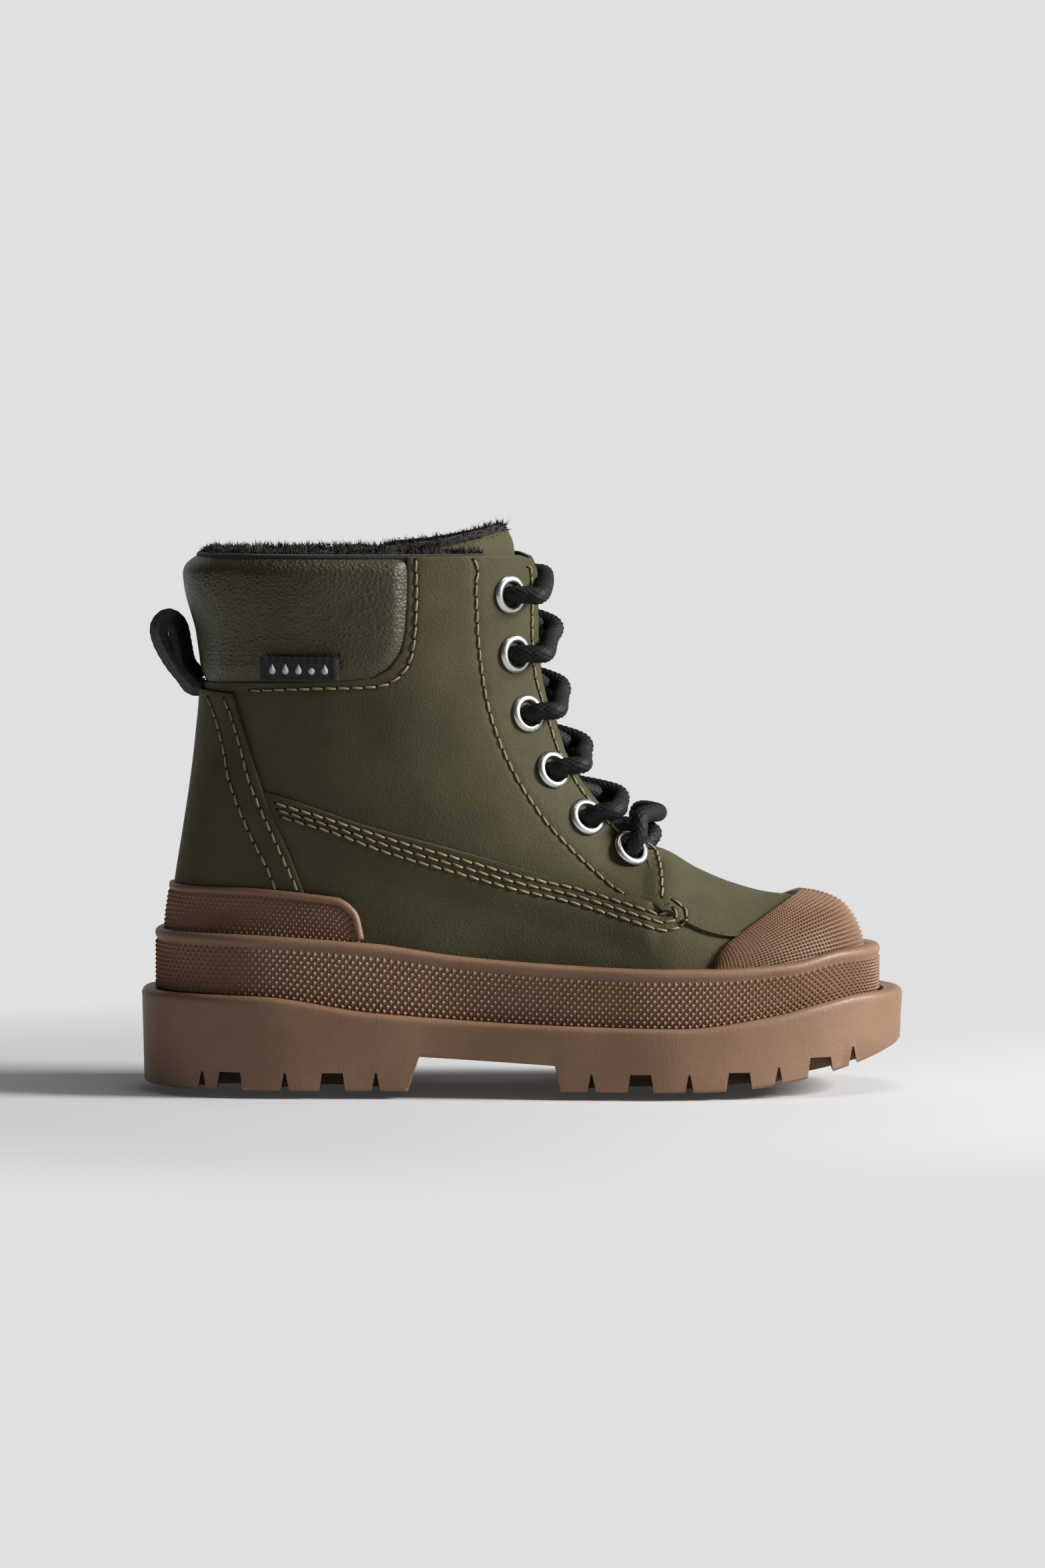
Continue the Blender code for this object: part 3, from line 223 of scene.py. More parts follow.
def patch(bottom, top, left, right, columns, rows, ease_left=False, ease_right=False, corners=()):
    """A side-view grid of (x, z) points filling four boundary polylines (a Coons patch).

    bottom and top run from left to right, left and right from bottom to top. ease_ packs the
    columns towards an end that lies on the outline, where the surface turns away from the view.
    """
    u = np.linspace(0, 1, columns)
    if ease_left and ease_right:
        u = (1 - np.cos(math.pi * u)) / 2
    elif ease_left:
        u = 1 - np.cos(math.pi / 2 * u)
    elif ease_right:
        u = np.sin(math.pi / 2 * u)
    u = snapped(u, corners)
    v = np.linspace(0, 1, rows)
    b, t = resample(bottom, u), resample(top, u)
    lf, r = resample(left, v), resample(right, v)
    uu, vv = u[None, :, None], v[:, None, None]
    ruled = (1 - vv) * b[None] + vv * t[None] + (1 - uu) * lf[:, None] + uu * r[:, None]
    twice = (1 - vv) * ((1 - uu) * b[0] + uu * b[-1]) + vv * ((1 - uu) * t[0] + uu * t[-1])
    return ruled - twice


def silhouette_back(low, high, steps):
    return [(float(back_x(z)), z) for z in np.linspace(low, high, steps)]


def silhouette_toe(steps, low=26.0):
    """From the toe's foot up over the toe and back to the throat."""
    run = [(float(x), float(instep_z(x))) for x in np.linspace(96.4, 40.2, steps)]
    return [(UPPER_FRONT, low), (UPPER_FRONT - 0.1, 32.0)] + run


def nose_x(z):
    """The foremost x of the upper at a height below the throat."""
    xs = np.linspace(UPPER_FRONT, 40.2, 200)
    return np.interp(z, instep_z(xs), xs)


def throat_edge(low, high, steps):
    """The front edge of a quarter between two heights."""
    heights = np.linspace(low, high, steps)
    return list(zip(front_x(heights, EDGE_Y), heights))


def quarter_front():
    """From the vamp line up the front edge to the top of the shaft."""
    foot = [(41.6, 52.2), (41.6, 57), (40.8, 61.5), (38.0, 65.2)]
    rise = throat_edge(69, 146, 16)
    corner = [(rise[-1][0] - 1.6, 149.3), (rise[-1][0] - 5, TOP_Z)]
    return foot + rise + corner


# ---------------------------------------------------------------- materials


def new_material(name, colour, roughness, metallic=0.0):
    """A Principled material."""
    made = bpy.data.materials.new(name)
    made.use_nodes = True
    shader = made.node_tree.nodes["Principled BSDF"]
    shader.inputs["Base Color"].default_value = (*colour, 1)
    shader.inputs["Roughness"].default_value = roughness
    shader.inputs["Metallic"].default_value = metallic
    return made


def place_nodes(made):
    """A material's nodes, its links and a new socket for the object's own space."""
    nodes = made.node_tree.nodes
    where = nodes.new("ShaderNodeTexCoord")
    return nodes, made.node_tree.links, where.outputs["Object"]


def texture(made, kind, scale, stretch=(1, 1, 1), detail=2.0):
    """A noise or Voronoi texture in the object's own space; its value output is returned."""
    nodes, links, where = place_nodes(made)
    turn = nodes.new("ShaderNodeMapping")
    turn.inputs["Scale"].default_value = stretch
    links.new(where, turn.inputs["Vector"])
    if kind == "noise":
        made_node = nodes.new("ShaderNodeTexNoise")
        made_node.inputs["Scale"].default_value = scale
        made_node.inputs["Detail"].default_value = detail
        links.new(turn.outputs["Vector"], made_node.inputs["Vector"])
        return made_node.outputs["Fac"]
    made_node = nodes.new("ShaderNodeTexVoronoi")
    made_node.feature = "DISTANCE_TO_EDGE" if kind == "cells" else "F1"
    made_node.inputs["Scale"].default_value = scale
    links.new(turn.outputs["Vector"], made_node.inputs["Vector"])
    return made_node.outputs["Distance"]


def vary_colour(made, value, dark, light):
    """Base colour that wanders between two tones."""
    nodes, links = made.node_tree.nodes, made.node_tree.links
    ramp = nodes.new("ShaderNodeValToRGB")
    ramp.color_ramp.elements[0].position = 0.3
    ramp.color_ramp.elements[1].position = 0.7
    ramp.color_ramp.elements[0].color = (*dark, 1)
    ramp.color_ramp.elements[1].color = (*light, 1)
    links.new(value, ramp.inputs["Fac"])
    links.new(ramp.outputs["Color"], nodes["Principled BSDF"].inputs["Base Color"])


def vary_roughness(made, value, low, high):
    """Roughness that wanders between two values."""
    nodes, links = made.node_tree.nodes, made.node_tree.links
    spread = nodes.new("ShaderNodeMapRange")
    spread.inputs["To Min"].default_value = low
    spread.inputs["To Max"].default_value = high
    links.new(value, spread.inputs["Value"])
    links.new(spread.outputs["Result"], nodes["Principled BSDF"].inputs["Roughness"])


def add_bumps(made, *layers):
    """Layers of (height value, depth in mm, strength) from coarse to fine."""
    nodes, links = made.node_tree.nodes, made.node_tree.links
    last = None
    for value, depth, strength in layers:
        bump = nodes.new("ShaderNodeBump")
        bump.inputs["Distance"].default_value = depth * MM
        bump.inputs["Strength"].default_value = strength
        links.new(value, bump.inputs["Height"])
        if last is not None:
            links.new(last, bump.inputs["Normal"])
        last = bump.outputs["Normal"]
    links.new(last, nodes["Principled BSDF"].inputs["Normal"])


def rubber_material():
    """Moulded gum rubber with a pebbled skin."""
    made = new_material("gum_rubber", (0.23, 0.125, 0.075), 0.55)
    cloud = texture(made, "noise", 45.0, detail=3.0)
    vary_colour(made, cloud, (0.180, 0.096, 0.052), (0.228, 0.128, 0.074))
    vary_roughness(made, texture(made, "noise", 160.0), 0.44, 0.62)
    pebble = texture(made, "noise", 1500.0, detail=1.5)
    ripple = texture(made, "noise", 420.0)
    add_bumps(made, (ripple, 0.25, 0.25), (pebble, 0.16, 0.55))
    return made


def nubuck_material():
    """Matt olive nubuck with a fine nap."""
    made = new_material("olive_nubuck", (0.10, 0.09, 0.052), 0.72)
    vary_colour(made, texture(made, "noise", 60.0, detail=5.0), (0.047, 0.041, 0.017), (0.068, 0.060, 0.027))
    vary_roughness(made, texture(made, "noise", 300.0), 0.60, 0.80)
    shader = made.node_tree.nodes["Principled BSDF"]
    shader.inputs["Sheen Weight"].default_value = 0.03
    shader.inputs["Sheen Roughness"].default_value = 0.5
    shader.inputs["Specular IOR Level"].default_value = 0.22
    grain = texture(made, "noise", 1700.0, detail=2.5)
    dimple = texture(made, "cells", 900.0)
    wave = texture(made, "noise", 130.0)
    add_bumps(made, (wave, 0.5, 0.12), (dimple, 0.14, 0.40), (grain, 0.22, 0.75))
    return made


def leather_material():
    """Soft grained leather with faint creases."""
    made = new_material("olive_leather", (0.085, 0.078, 0.046), 0.5)
    vary_colour(made, texture(made, "noise", 90.0, detail=4.0), (0.038, 0.033, 0.014), (0.056, 0.050, 0.022))
    vary_roughness(made, texture(made, "noise", 400.0), 0.40, 0.56)
    made.node_tree.nodes["Principled BSDF"].inputs["Specular IOR Level"].default_value = 0.4
    grain = texture(made, "cells", 640.0, stretch=(1.0, 1.0, 1.25))
    fine = texture(made, "noise", 1500.0)
    crease = texture(made, "noise", 260.0, stretch=(1, 1, 1.6), detail=4.0)
    add_bumps(made, (crease, 0.9, 0.30), (grain, 0.45, 0.8), (fine, 0.10, 0.30))
    return made


def cloth_material(name, dark, light, roughness, sheen, scale=1400.0):
    """Fibrous matter between two tones."""
    made = new_material(name, light, roughness)
    vary_colour(made, texture(made, "noise", scale / 6, detail=3.0), dark, light)
    shader = made.node_tree.nodes["Principled BSDF"]
    shader.inputs["Sheen Weight"].default_value = sheen
    shader.inputs["Sheen Roughness"].default_value = 0.6
    shader.inputs["Specular IOR Level"].default_value = 0.25
    add_bumps(made, (texture(made, "noise", scale, detail=3.0), 0.25, 0.5))
    return made


def woven_material(name, colour, pitch, roughness):
    """A woven tape: ribs across and along it."""
    made = new_material(name, colour, roughness)
    nodes, links, where = place_nodes(made)
    layers = []
    for direction in ("X", "Z"):
        wave = nodes.new("ShaderNodeTexWave")
        wave.bands_direction = direction
        wave.inputs["Scale"].default_value = 1000.0 / pitch / 6.283
        wave.inputs["Distortion"].default_value = 0.4
        links.new(where, wave.inputs["Vector"])
        layers.append((wave.outputs["Fac"], 0.18, 0.5))
    dark = tuple(c * 0.6 for c in colour)
    light = tuple(c * 1.6 for c in colour)
    vary_colour(made, texture(made, "noise", 500.0), dark, light)
    add_bumps(made, *layers)
    return made


def steel_material():
    """Satin plated steel."""
    made = new_material("polished_steel", (0.60, 0.60, 0.59), 0.3, 1.0)
    vary_roughness(made, texture(made, "noise", 500.0, detail=3.0), 0.26, 0.38)
    add_bumps(made, (texture(made, "noise", 900.0), 0.03, 0.10))
    return made


def board_material(name, colour):
    """Pressed board or foam, seen only if a piece is taken off."""
    made = new_material(name, colour, 0.85)
    dark = tuple(c * 0.85 for c in colour)
    vary_colour(made, texture(made, "noise", 300.0, detail=4.0), dark, colour)
    add_bumps(made, (texture(made, "noise", 900.0), 0.2, 0.4))
    return made


rubber = rubber_material()
nubuck = nubuck_material()
leather = leather_material()
pile = cloth_material("dark_pile", (0.008, 0.006, 0.005), (0.026, 0.019, 0.015), 0.9, 0.10, 900.0)
fabric = cloth_material("dark_fabric", (0.014, 0.014, 0.012), (0.026, 0.026, 0.022), 0.85, 0.1, 1600.0)
braid = cloth_material("lace_cord", (0.004, 0.004, 0.004), (0.011, 0.011, 0.010), 0.6, 0.0, 2500.0)
webbing = woven_material("black_webbing", (0.011, 0.011, 0.012), 1.1, 0.75)
steel = steel_material()
thread = cloth_material("pale_thread", (0.20, 0.165, 0.085), (0.31, 0.26, 0.15), 0.6, 0.0, 2500.0)
# Painted shade: this near-black material stands in for the shade inside each needle pit
painted_hole_shade = cloth_material("painted_hole_shade", (0.010, 0.009, 0.006), (0.016, 0.015, 0.010), 0.95, 0.0)
print_white = cloth_material("label_print", (0.42, 0.42, 0.42), (0.60, 0.60, 0.60), 0.6, 0.0)
foam = board_material("foam", (0.35, 0.33, 0.28))
board = board_material("fibre_board", (0.30, 0.24, 0.17))


# ---------------------------------------------------------------- making meshes


def mesh_object(name, points, faces, look, smooth=True):
    """A mesh from points in millimetres."""
    mesh = bpy.data.meshes.new(name)
    mesh.from_pydata((np.asarray(points, float) * MM).tolist(), [], [tuple(map(int, f)) for f in faces])
    mesh.materials.append(look)
    if smooth:
        mesh.shade_smooth()
    obj = bpy.data.objects.new(name, mesh)
    bpy.context.scene.collection.objects.link(obj)
    return obj


def face_out(obj):
    """Weld coincident points and turn every face outwards."""
    body = bmesh.new()
    body.from_mesh(obj.data)
    bmesh.ops.remove_doubles(body, verts=body.verts, dist=0.000004)
    bmesh.ops.recalc_face_normals(body, faces=body.faces)
    body.to_mesh(obj.data)
    body.free()
    return obj


def shown(obj, body, look_slot, *nodes):
    """Put a piece on its body, standing for these CAD nodes."""
    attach(obj, body)
    if nodes:
        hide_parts(*nodes)
    return obj


def quads(rows, columns, closed=False):
    """Four-sided faces of a grid whose points are numbered row by row."""
    wide = columns if closed else columns - 1
    r, c = np.meshgrid(np.arange(rows - 1), np.arange(wide), indexing="ij")
    ahead = (c + 1) % columns
    near, far = r * columns, (r + 1) * columns
    return np.stack([near + c, near + ahead, far + ahead, far + c], -1).reshape(-1, 4)


def border(rows, columns):
    """The numbers of a grid's outermost points, in order round it."""
    ring = list(range(columns)) + [r * columns + columns - 1 for r in range(1, rows)]
    ring += [(rows - 1) * columns + c for c in range(columns - 2, -1, -1)]
    return ring + [r * columns for r in range(rows - 2, 0, -1)]


def wrapped(rows, columns, closed=False):
    """Faces of an outer grid, the same grid turned inwards, and the strip that joins their edges."""
    n = rows * columns
    top = quads(rows, columns, closed)
    faces = [tuple(f) for f in top] + [tuple(f[::-1] + n) for f in top]
    loops = [border(rows, columns)]
    if closed:
        loops = [[r * columns + c for c in range(columns)] for r in (0, rows - 1)]
    for loop in loops:
        faces += [(a, a + n, b + n, b) for a, b in zip(loop, loop[1:] + loop[:1])]
    return faces


def lifted(grid, side, flat_columns=()):
    """Side-view points moved out onto one side of the upper."""
    x, z = grid[..., 0], grid[..., 1]
    half = half_width(x, z)
    for column in flat_columns:
        half[:, column] = 0
    return np.stack([x, centre_y(x) + side * half, z], -1)


def around(grid, outline):
    """Both sides of the boot as one grid, joined at the heel, at the toe, or at both."""
    flat = {"heel": (0,), "toe": (-1,), "both": (0, -1)}[outline]
    outer, inner = lifted(grid, -1, flat), lifted(grid, 1, flat)
    if outline == "heel":
        return np.concatenate([inner[:, ::-1], outer[:, 1:]], 1)
    if outline == "toe":
        return np.concatenate([outer, inner[:, -2::-1]], 1)
    return np.concatenate([outer, inner[:, -2:0:-1]], 1)


def normals_of(points, middle, closed=False):
    """Outward unit normals of a grid of points."""
    if closed:
        across = np.roll(points, -1, 1) - np.roll(points, 1, 1)
    else:
        across = np.gradient(points, axis=1)
    normal = np.cross(across, np.gradient(points, axis=0))
    normal /= np.maximum(np.linalg.norm(normal, axis=-1, keepdims=True), 1e-9)
    away = (normal * (points - np.array(middle, float))).sum()
    return normal if away > 0 else -normal


def lengths(path):
    """How far along a path each of its points lies."""
    return np.concatenate([[0], np.cumsum(np.linalg.norm(np.diff(path, axis=0), axis=1))])


def even_columns(points, count):
    """Each row resampled to equal steps along its length."""
    rows = []
    for row in points:
        far = lengths(row)
        at = np.linspace(0, far[-1], count)
        rows.append(np.stack([np.interp(at, far, row[:, k]) for k in range(3)], -1))
    return np.array(rows)


CUT_EDGE_ANGLE = 48  # a panel's cut edges are sharper than this, in degrees


def shell(name, points, normal, out, thick, look, closed=False):
    """A sheet of material: outer face, inner face and a slightly rounded cut edge."""
    rows, columns = points.shape[:2]
    out = np.broadcast_to(out, (rows, columns)).copy()
    edge = np.zeros((rows, columns), bool)
    edge[0] = edge[-1] = True
    if not closed:
        edge[:, 0] = edge[:, -1] = True
    outer = points + normal * (out - 0.28 * edge)[..., None]
    inner = points + normal * (out - thick)[..., None]
    both = np.concatenate([outer.reshape(-1, 3), inner.reshape(-1, 3)])
    obj = face_out(mesh_object(name, both, wrapped(rows, columns, closed), look))
    obj.data.set_sharp_from_angle(angle=math.radians(CUT_EDGE_ANGLE))
    return obj


def near_line(x, z, lines):
    """Distance in the side view from each point to the nearest of some polylines."""
    best = np.full(x.shape, 1e9)
    for line in lines:
        line = np.array(line, float)
        for a, b in zip(line, line[1:]):
            d = b - a
            t = np.clip(((x - a[0]) * d[0] + (z - a[1]) * d[1]) / (d @ d), 0, 1)
            best = np.minimum(best, np.hypot(x - a[0] - t * d[0], z - a[1] - t * d[1]))
    return best


def ease(value):
    value = np.clip(value, 0, 1)
    return value * value * (3 - 2 * value)


def rounded(line, steps=8):
    """A denser polyline through the given points, with eased corners."""
    line = np.array(line, float)
    run = []
    for i in range(len(line) - 1):
        before, after = line[max(i - 1, 0)], line[min(i + 2, len(line) - 1)]
        here, there = line[i], line[i + 1]
        for s in range(steps):
            t = s / steps
            pull_in, pull_out = (there - before) / 2, (after - here) / 2
            place = here * (2 * t**3 - 3 * t**2 + 1) + there * (3 * t**2 - 2 * t**3)
            run.append(place + pull_in * (t**3 - 2 * t**2 + t) + pull_out * (t**3 - t**2))
    run.append(line[-1])
    return np.array(run)


def join_meshes(name, blocks, look):
    """One object from several (points, faces) blocks."""
    points, faces, start = [], [], 0
    for block_points, block_faces in blocks:
        block_points = np.asarray(block_points, float).reshape(-1, 3)
        points.append(block_points)
        faces += [tuple(int(i) + start for i in f) for f in block_faces]
        start += len(block_points)
    return mesh_object(name, np.concatenate(points), faces, look)


def tube_block(path, radius, sides=10):
    """Points and faces of a round tube along a path, with closed ends."""
    path = np.array([tuple(p) for p in path], float)
    ahead = np.gradient(path, axis=0)
    ahead /= np.linalg.norm(ahead, axis=1, keepdims=True)
    side = np.cross(ahead[0], [0.3, 0.2, 0.93])
    side /= np.linalg.norm(side)
    rings = []
    turn = np.linspace(0, 2 * math.pi, sides, endpoint=False)
    radius = np.asarray(radius, float)
    radius = np.broadcast_to(radius[:, None] if radius.ndim == 1 else radius, (len(path), sides))
    for place, along, around_it in zip(path, ahead, radius):
        side = side - along * (side @ along)
        side /= np.linalg.norm(side)
        other = np.cross(along, side)
        ring = place + around_it[:, None] * (np.cos(turn)[:, None] * side + np.sin(turn)[:, None] * other)
        rings.append(ring)
    points = np.concatenate(rings)
    faces = [tuple(f) for f in quads(len(path), sides, closed=True)]
    faces += [tuple(range(sides - 1, -1, -1)), tuple(range(len(points) - sides, len(points)))]
    return points, faces


# ---------------------------------------------------------------- seams

STITCH = 3.7
EYESTAY_SEAM = [(-13.8, 149.6), (-12.6, 147.0), (-13.1, 142), (-12.9, 135.5), (-12.5, 127.1), (-11.4, 117.4),
                (-10.2, 110.1), (-8.2, 103), (-5.4, 95.4), (-1.1, 86.8), (3.2, 80.1), (7, 74.9), (12.3, 69.1),
                (18, 63.4), (25.2, 57.2), (29.0, 54.9)]
FRONT_SEAM = [(35.2, 68.2), (37.7, 65.6), (39.0, 61.4), (39.4, 56.8), (39.4, 53.6)]
COLLAR_SEAM = [(-30.0, 149.8), (-29.8, 138.6), (-30.5, 126.7), (-32.2, 120), (-36.5, 115.5), (-43.2, 113.8),
               (-59.8, 113.3), (-77.0, 112.6)]
VAMP_SEAM_A = [(-69.5, 80.9), (-55, 76.6), (-36.3, 70.6), (-17.8, 65.2), (-2.6, 60.7), (14.2, 56.4),
               (31, 51.3), (38.6, 49.4), (41.6, 50.4)]
VAMP_SEAM_B = [(-68.8, 79.0), (-54, 74.6), (-36.8, 68.7), (-18.3, 63.3), (-3.1, 58.8), (13.7, 54.5),
               (30.5, 49.4), (39.2, 47.2), (43.4, 48.4), (42.6, 51.2)]
VAMP_SEAM_C = [(-68.0, 77.1), (-53, 72.6), (-37.3, 66.8), (-18.8, 61.4), (-3.6, 56.9), (13.2, 52.6),
               (30.0, 47.5), (39.8, 45.0), (45.6, 46.8), (46.0, 50.6), (42.4, 53.4)]
BACK_SEAM_OUTER = [(-83.4, 110.2), (-81.2, 104.6), (-78.8, 96), (-76.9, 88), (-73.6, 79.4), (-69.8, 70.8),
                   (-66, 62.2), (-63.2, 56.0)]
BACK_SEAM_INNER = [(-88.0, 110.2), (-85.5, 103.7), (-83.6, 95.6), (-82.2, 87.4), (-78.8, 77.4), (-75, 68.9),
                   (-71.7, 62.2), (-69.3, 56.0)]
VAMP_RAISE, BACKSTAY_RAISE, QUARTER_RAISE = 1.0, 1.5, 0.9


def vamp_out(x, z):
    """The vamp lies over the quarter along its upper edge, and under it at the front."""
    edge = ease((z - vamp_line(x) + 16) / 10)
    return VAMP_RAISE * edge * ease((39.5 - x) / 5) * ease((x + 90) / 12)


def quarter_out(x, z):
    """The front lower corner of the quarter lies over the vamp."""
    return QUARTER_RAISE * ease((x - 33) / 6) * ease((76 - z) / 12)


def backstay_out(x, _z):
    """The backstay lies over both quarters."""
    return np.full_like(x, BACKSTAY_RAISE)


def seam_frame(line, side, out_at):
    """Even 3-D points, normals and lengths along a seam drawn in the side view."""
    line = rounded(line, 10)
    x, z = line[:, 0], line[:, 1]
    place = np.stack([x, centre_y(x) + side * half_width(x, z), z], -1)
    step = 0.4
    du = np.stack([x + step, centre_y(x + step) + side * half_width(x + step, z), z], -1) - place
    dv = np.stack([x, centre_y(x) + side * half_width(x, z + step), z + step], -1) - place
    normal = np.cross(du, dv)
    normal /= np.linalg.norm(normal, axis=1, keepdims=True)
    normal *= np.sign(normal[:, 1:2] * side)
    place = place + normal * out_at(x, z)[:, None]
    far = lengths(place)
    return place, normal, far


def stitch_blocks(line, side, out_at):
    """Thread of one seam and dark discs painted as the shade in its needle-hole pits, as two lists of mesh
    blocks.
    """
    place, normal, far = seam_frame(line, side, out_at)
    count = max(2, round(far[-1] / STITCH))
    pitch = far[-1] / count

    def at(s):
        return np.stack([np.interp(s, far, place[:, k]) for k in range(3)], -1)

    def up(s):
        n = np.stack([np.interp(s, far, normal[:, k]) for k in range(3)], -1)
        return n / np.linalg.norm(n, axis=-1, keepdims=True)

    threads, hole_shade_discs = [], []
    share = np.array([0.02, 0.12, 0.34, 0.66, 0.88, 0.98])
    rise = np.array([-0.45, 0.02, 0.22, 0.22, 0.02, -0.45])
    slant = np.array([-0.16, -0.13, -0.06, 0.06, 0.13, 0.16])
    wide = np.array([0.16, 0.28, 0.33, 0.33, 0.28, 0.16])
    turn = np.linspace(0, 2 * math.pi, 7)[:-1]
    rng = np.random.default_rng(len(line) * 7 + int(side))
    for k in range(count):
        s = (k + share) * pitch
        n = up(s)
        middle = at(s)
        along = np.gradient(middle, axis=0)
        along /= np.linalg.norm(along, axis=1, keepdims=True)
        across = np.cross(n, along)
        loose = 1 + 0.12 * rng.standard_normal()
        core = middle + n * (rise * loose)[:, None] + across * (slant * side)[:, None]
        ring = core[:, None] + wide[:, None, None] * (
            np.cos(turn)[None, :, None] * across[:, None] + 0.85 * np.sin(turn)[None, :, None] * n[:, None])
        threads.append((ring.reshape(-1, 3), [tuple(f) for f in quads(len(s), 6, closed=True)]
                        + [tuple(range(5, -1, -1)), tuple(range(30, 36))]))
    # Each needle hole gets a small near-black disc: painted shade for the pit the needle leaves
    for k in range(count + 1):
        s = np.array([k * pitch])
        n, middle = up(s)[0], at(s)[0]
        along = at(np.array([min(s[0] + 0.3, far[-1])]))[0] - at(np.array([max(s[0] - 0.3, 0)]))[0]
        along /= np.linalg.norm(along)
        across = np.cross(n, along)
        disc = [middle + n * -0.30]
        disc += [middle + n * 0.02 + 0.55 * math.cos(a) * along + 0.42 * math.sin(a) * across for a in turn]
        disc += [middle + n * 0.10]
        faces = [(0, 1 + (i + 1) % 6, 1 + i) for i in range(6)]
        faces += [(7, 1 + i, 1 + (i + 1) % 6) for i in range(6)]
        hole_shade_discs.append((disc, faces))
    return threads, hole_shade_discs


def sew(name, body, runs):
    """All the stitches of one panel, as a thread piece and a piece of dark discs painted as the shade in each
    needle hole.
    """
    threads, hole_shade_discs = [], []
    for line, side, out_at in runs:
        more_threads, more_hole_shade_discs = stitch_blocks(line, side, out_at)
        threads += more_threads
        hole_shade_discs += more_hole_shade_discs
    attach(face_out(join_meshes(name + "_thread", threads, thread)), body)
    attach(face_out(join_meshes(name + "_holes", hole_shade_discs, painted_hole_shade)), body)


def sewn_dip(x, z, lines):
    """How far the leather is pulled down beside its stitches."""
    return 0.22 * np.exp(-((near_line(x, z, lines) / 0.9) ** 2))


# ---------------------------------------------------------------- rubber


def sole_ring(back, front, half, height, count, breaks=()):
    """A closed row round the sole: lateral side from heel to toe, then the medial side back.

    The nearest point that is still free is moved onto each break.
    """
    turn = np.linspace(0, math.pi, count // 2 + 1)
    x = back + (front - back) * (1 - np.cos(turn)) / 2
    moved = np.zeros(len(x), bool)
    for edge in breaks:
        nearest = np.argmin(np.where(moved, np.inf, np.abs(x - edge)))
        x[nearest] = edge
        moved[nearest] = True
    x.sort()
    wide = half(x)
    wide[0] = wide[-1] = 0
    z = height(x)
    lateral = np.stack([x, centre_y(x) - wide, z], -1)
    medial = np.stack([x, centre_y(x) + wide, z], -1)[-2:0:-1]
    return np.concatenate([lateral, medial])


def ground_z(x):
    """The tread's lower face: heel, arch, and a forefoot that rises towards the toe."""
    x = np.asarray(x, float)
    heel_low, heel_high, ball_high, ball_low = ARCH_ENDS
    heel_edge = np.clip((x - heel_low) / (heel_high - heel_low), 0, 1)
    ball_edge = np.clip((x - ball_high) / (ball_low - ball_high), 0, 1)
    arch = ARCH_HEIGHT - ARCH_FALL * np.clip((x - heel_high) / (ball_high - heel_high), 0, 1)
    rise = np.maximum(x - BALL_X, 0) ** 2 / (2 * TOE_SPRING_RADIUS)
    return np.where(x < 0, arch * heel_edge, arch * (1 - ball_edge)) + rise


def prism(profile, y_from, y_to):
    """Points and faces of an (x, z) outline extruded along Y."""
    count = len(profile)
    points = [(x, y, z) for y in (y_from, y_to) for x, z in profile]
    faces = [tuple(range(count)), tuple(range(2 * count - 1, count - 1, -1))]
    faces += [((i + 1) % count, i, i + count, (i + 1) % count + count) for i in range(count)]
    return points, faces


def notch_outline(x, width):
    """Side view of a notch: wider at the ground, pointed or flat on top."""
    low, top = float(ground_z(x)) - 4.0, float(ground_z(x)) + LUG_DEPTH
    narrow, spread = (0.15, 1.4) if width == VEE else (0.8, 1.15)
    ends = ((-spread, low), (spread, low), (narrow, top), (-narrow, top))
    return [(x + share * width / 2, z) for share, z in ends]


def stacked(name, rings, look, sharp=35):
    """A closed body from rings of points, bottom to top. Its ends are closed from side to side."""
    count = len(rings[0])
    half = count // 2
    faces = [tuple(f) for f in quads(len(rings), count, closed=True)]
    for first, flip in ((0, False), ((len(rings) - 1) * count, True)):
        strips = [(first, first + 1, first + count - 1)]
        far = first + count
        strips += [(first + j, first + j + 1, far - j - 1, far - j) for j in range(1, half - 1)]
        strips.append((first + half - 1, first + half, first + half + 1))
        faces += [tuple(reversed(f)) for f in strips] if flip else strips
    obj = face_out(mesh_object(name, np.concatenate(rings), faces, look))
    obj.data.set_sharp_from_angle(angle=math.radians(sharp))
    return obj


def wall_gap(x):
    """The foxing meets the upper along the waist, and the rand and toe cap where they stand proud."""
    heel = 1 / (1 + np.exp((x + 44.5) * 1.6))
    toe = 1 / (1 + np.exp((52.0 - x) * 1.6))
    return 0.1 + 2.2 * heel + 1.6 * toe


def ring_round_upper(height, count, extra=0.0):
    """A ring of points a little outside the upper at a height that depends on x."""
    turn = np.linspace(0, math.pi, count // 2 + 1)
    back, front = float(back_x(height(UPPER_BACK))), float(nose_x(height(np.array(UPPER_FRONT))))
    x = back + (front - back) * (1 - np.cos(turn)) / 2
    wide = half_width(x, height(x))
    wide[0] = wide[-1] = 0
    along_x, along_w = np.gradient(x), np.gradient(wide)
    along_x[0] = along_x[-1] = 0
    size = np.hypot(along_x, along_w)
    gap = wall_gap(x) + extra
    x, wide = x - gap * along_w / size, wide + gap * along_x / size
    lateral = np.stack([x, centre_y(x) - wide, height(x)], -1)
    medial = np.stack([x, centre_y(x) + wide, height(x)], -1)[-2:0:-1]
    return np.concatenate([lateral, medial])


def sole_row(grow, height, count):
    """A ring round the midsole, standing this far outside the upper."""
    back = MIDSOLE_BACK + MIDSOLE_GROW - grow
    front = MIDSOLE_FRONT - MIDSOLE_GROW + grow
    return sole_ring(back, front, lambda x: plan_half(x, back, front, grow), height, count)


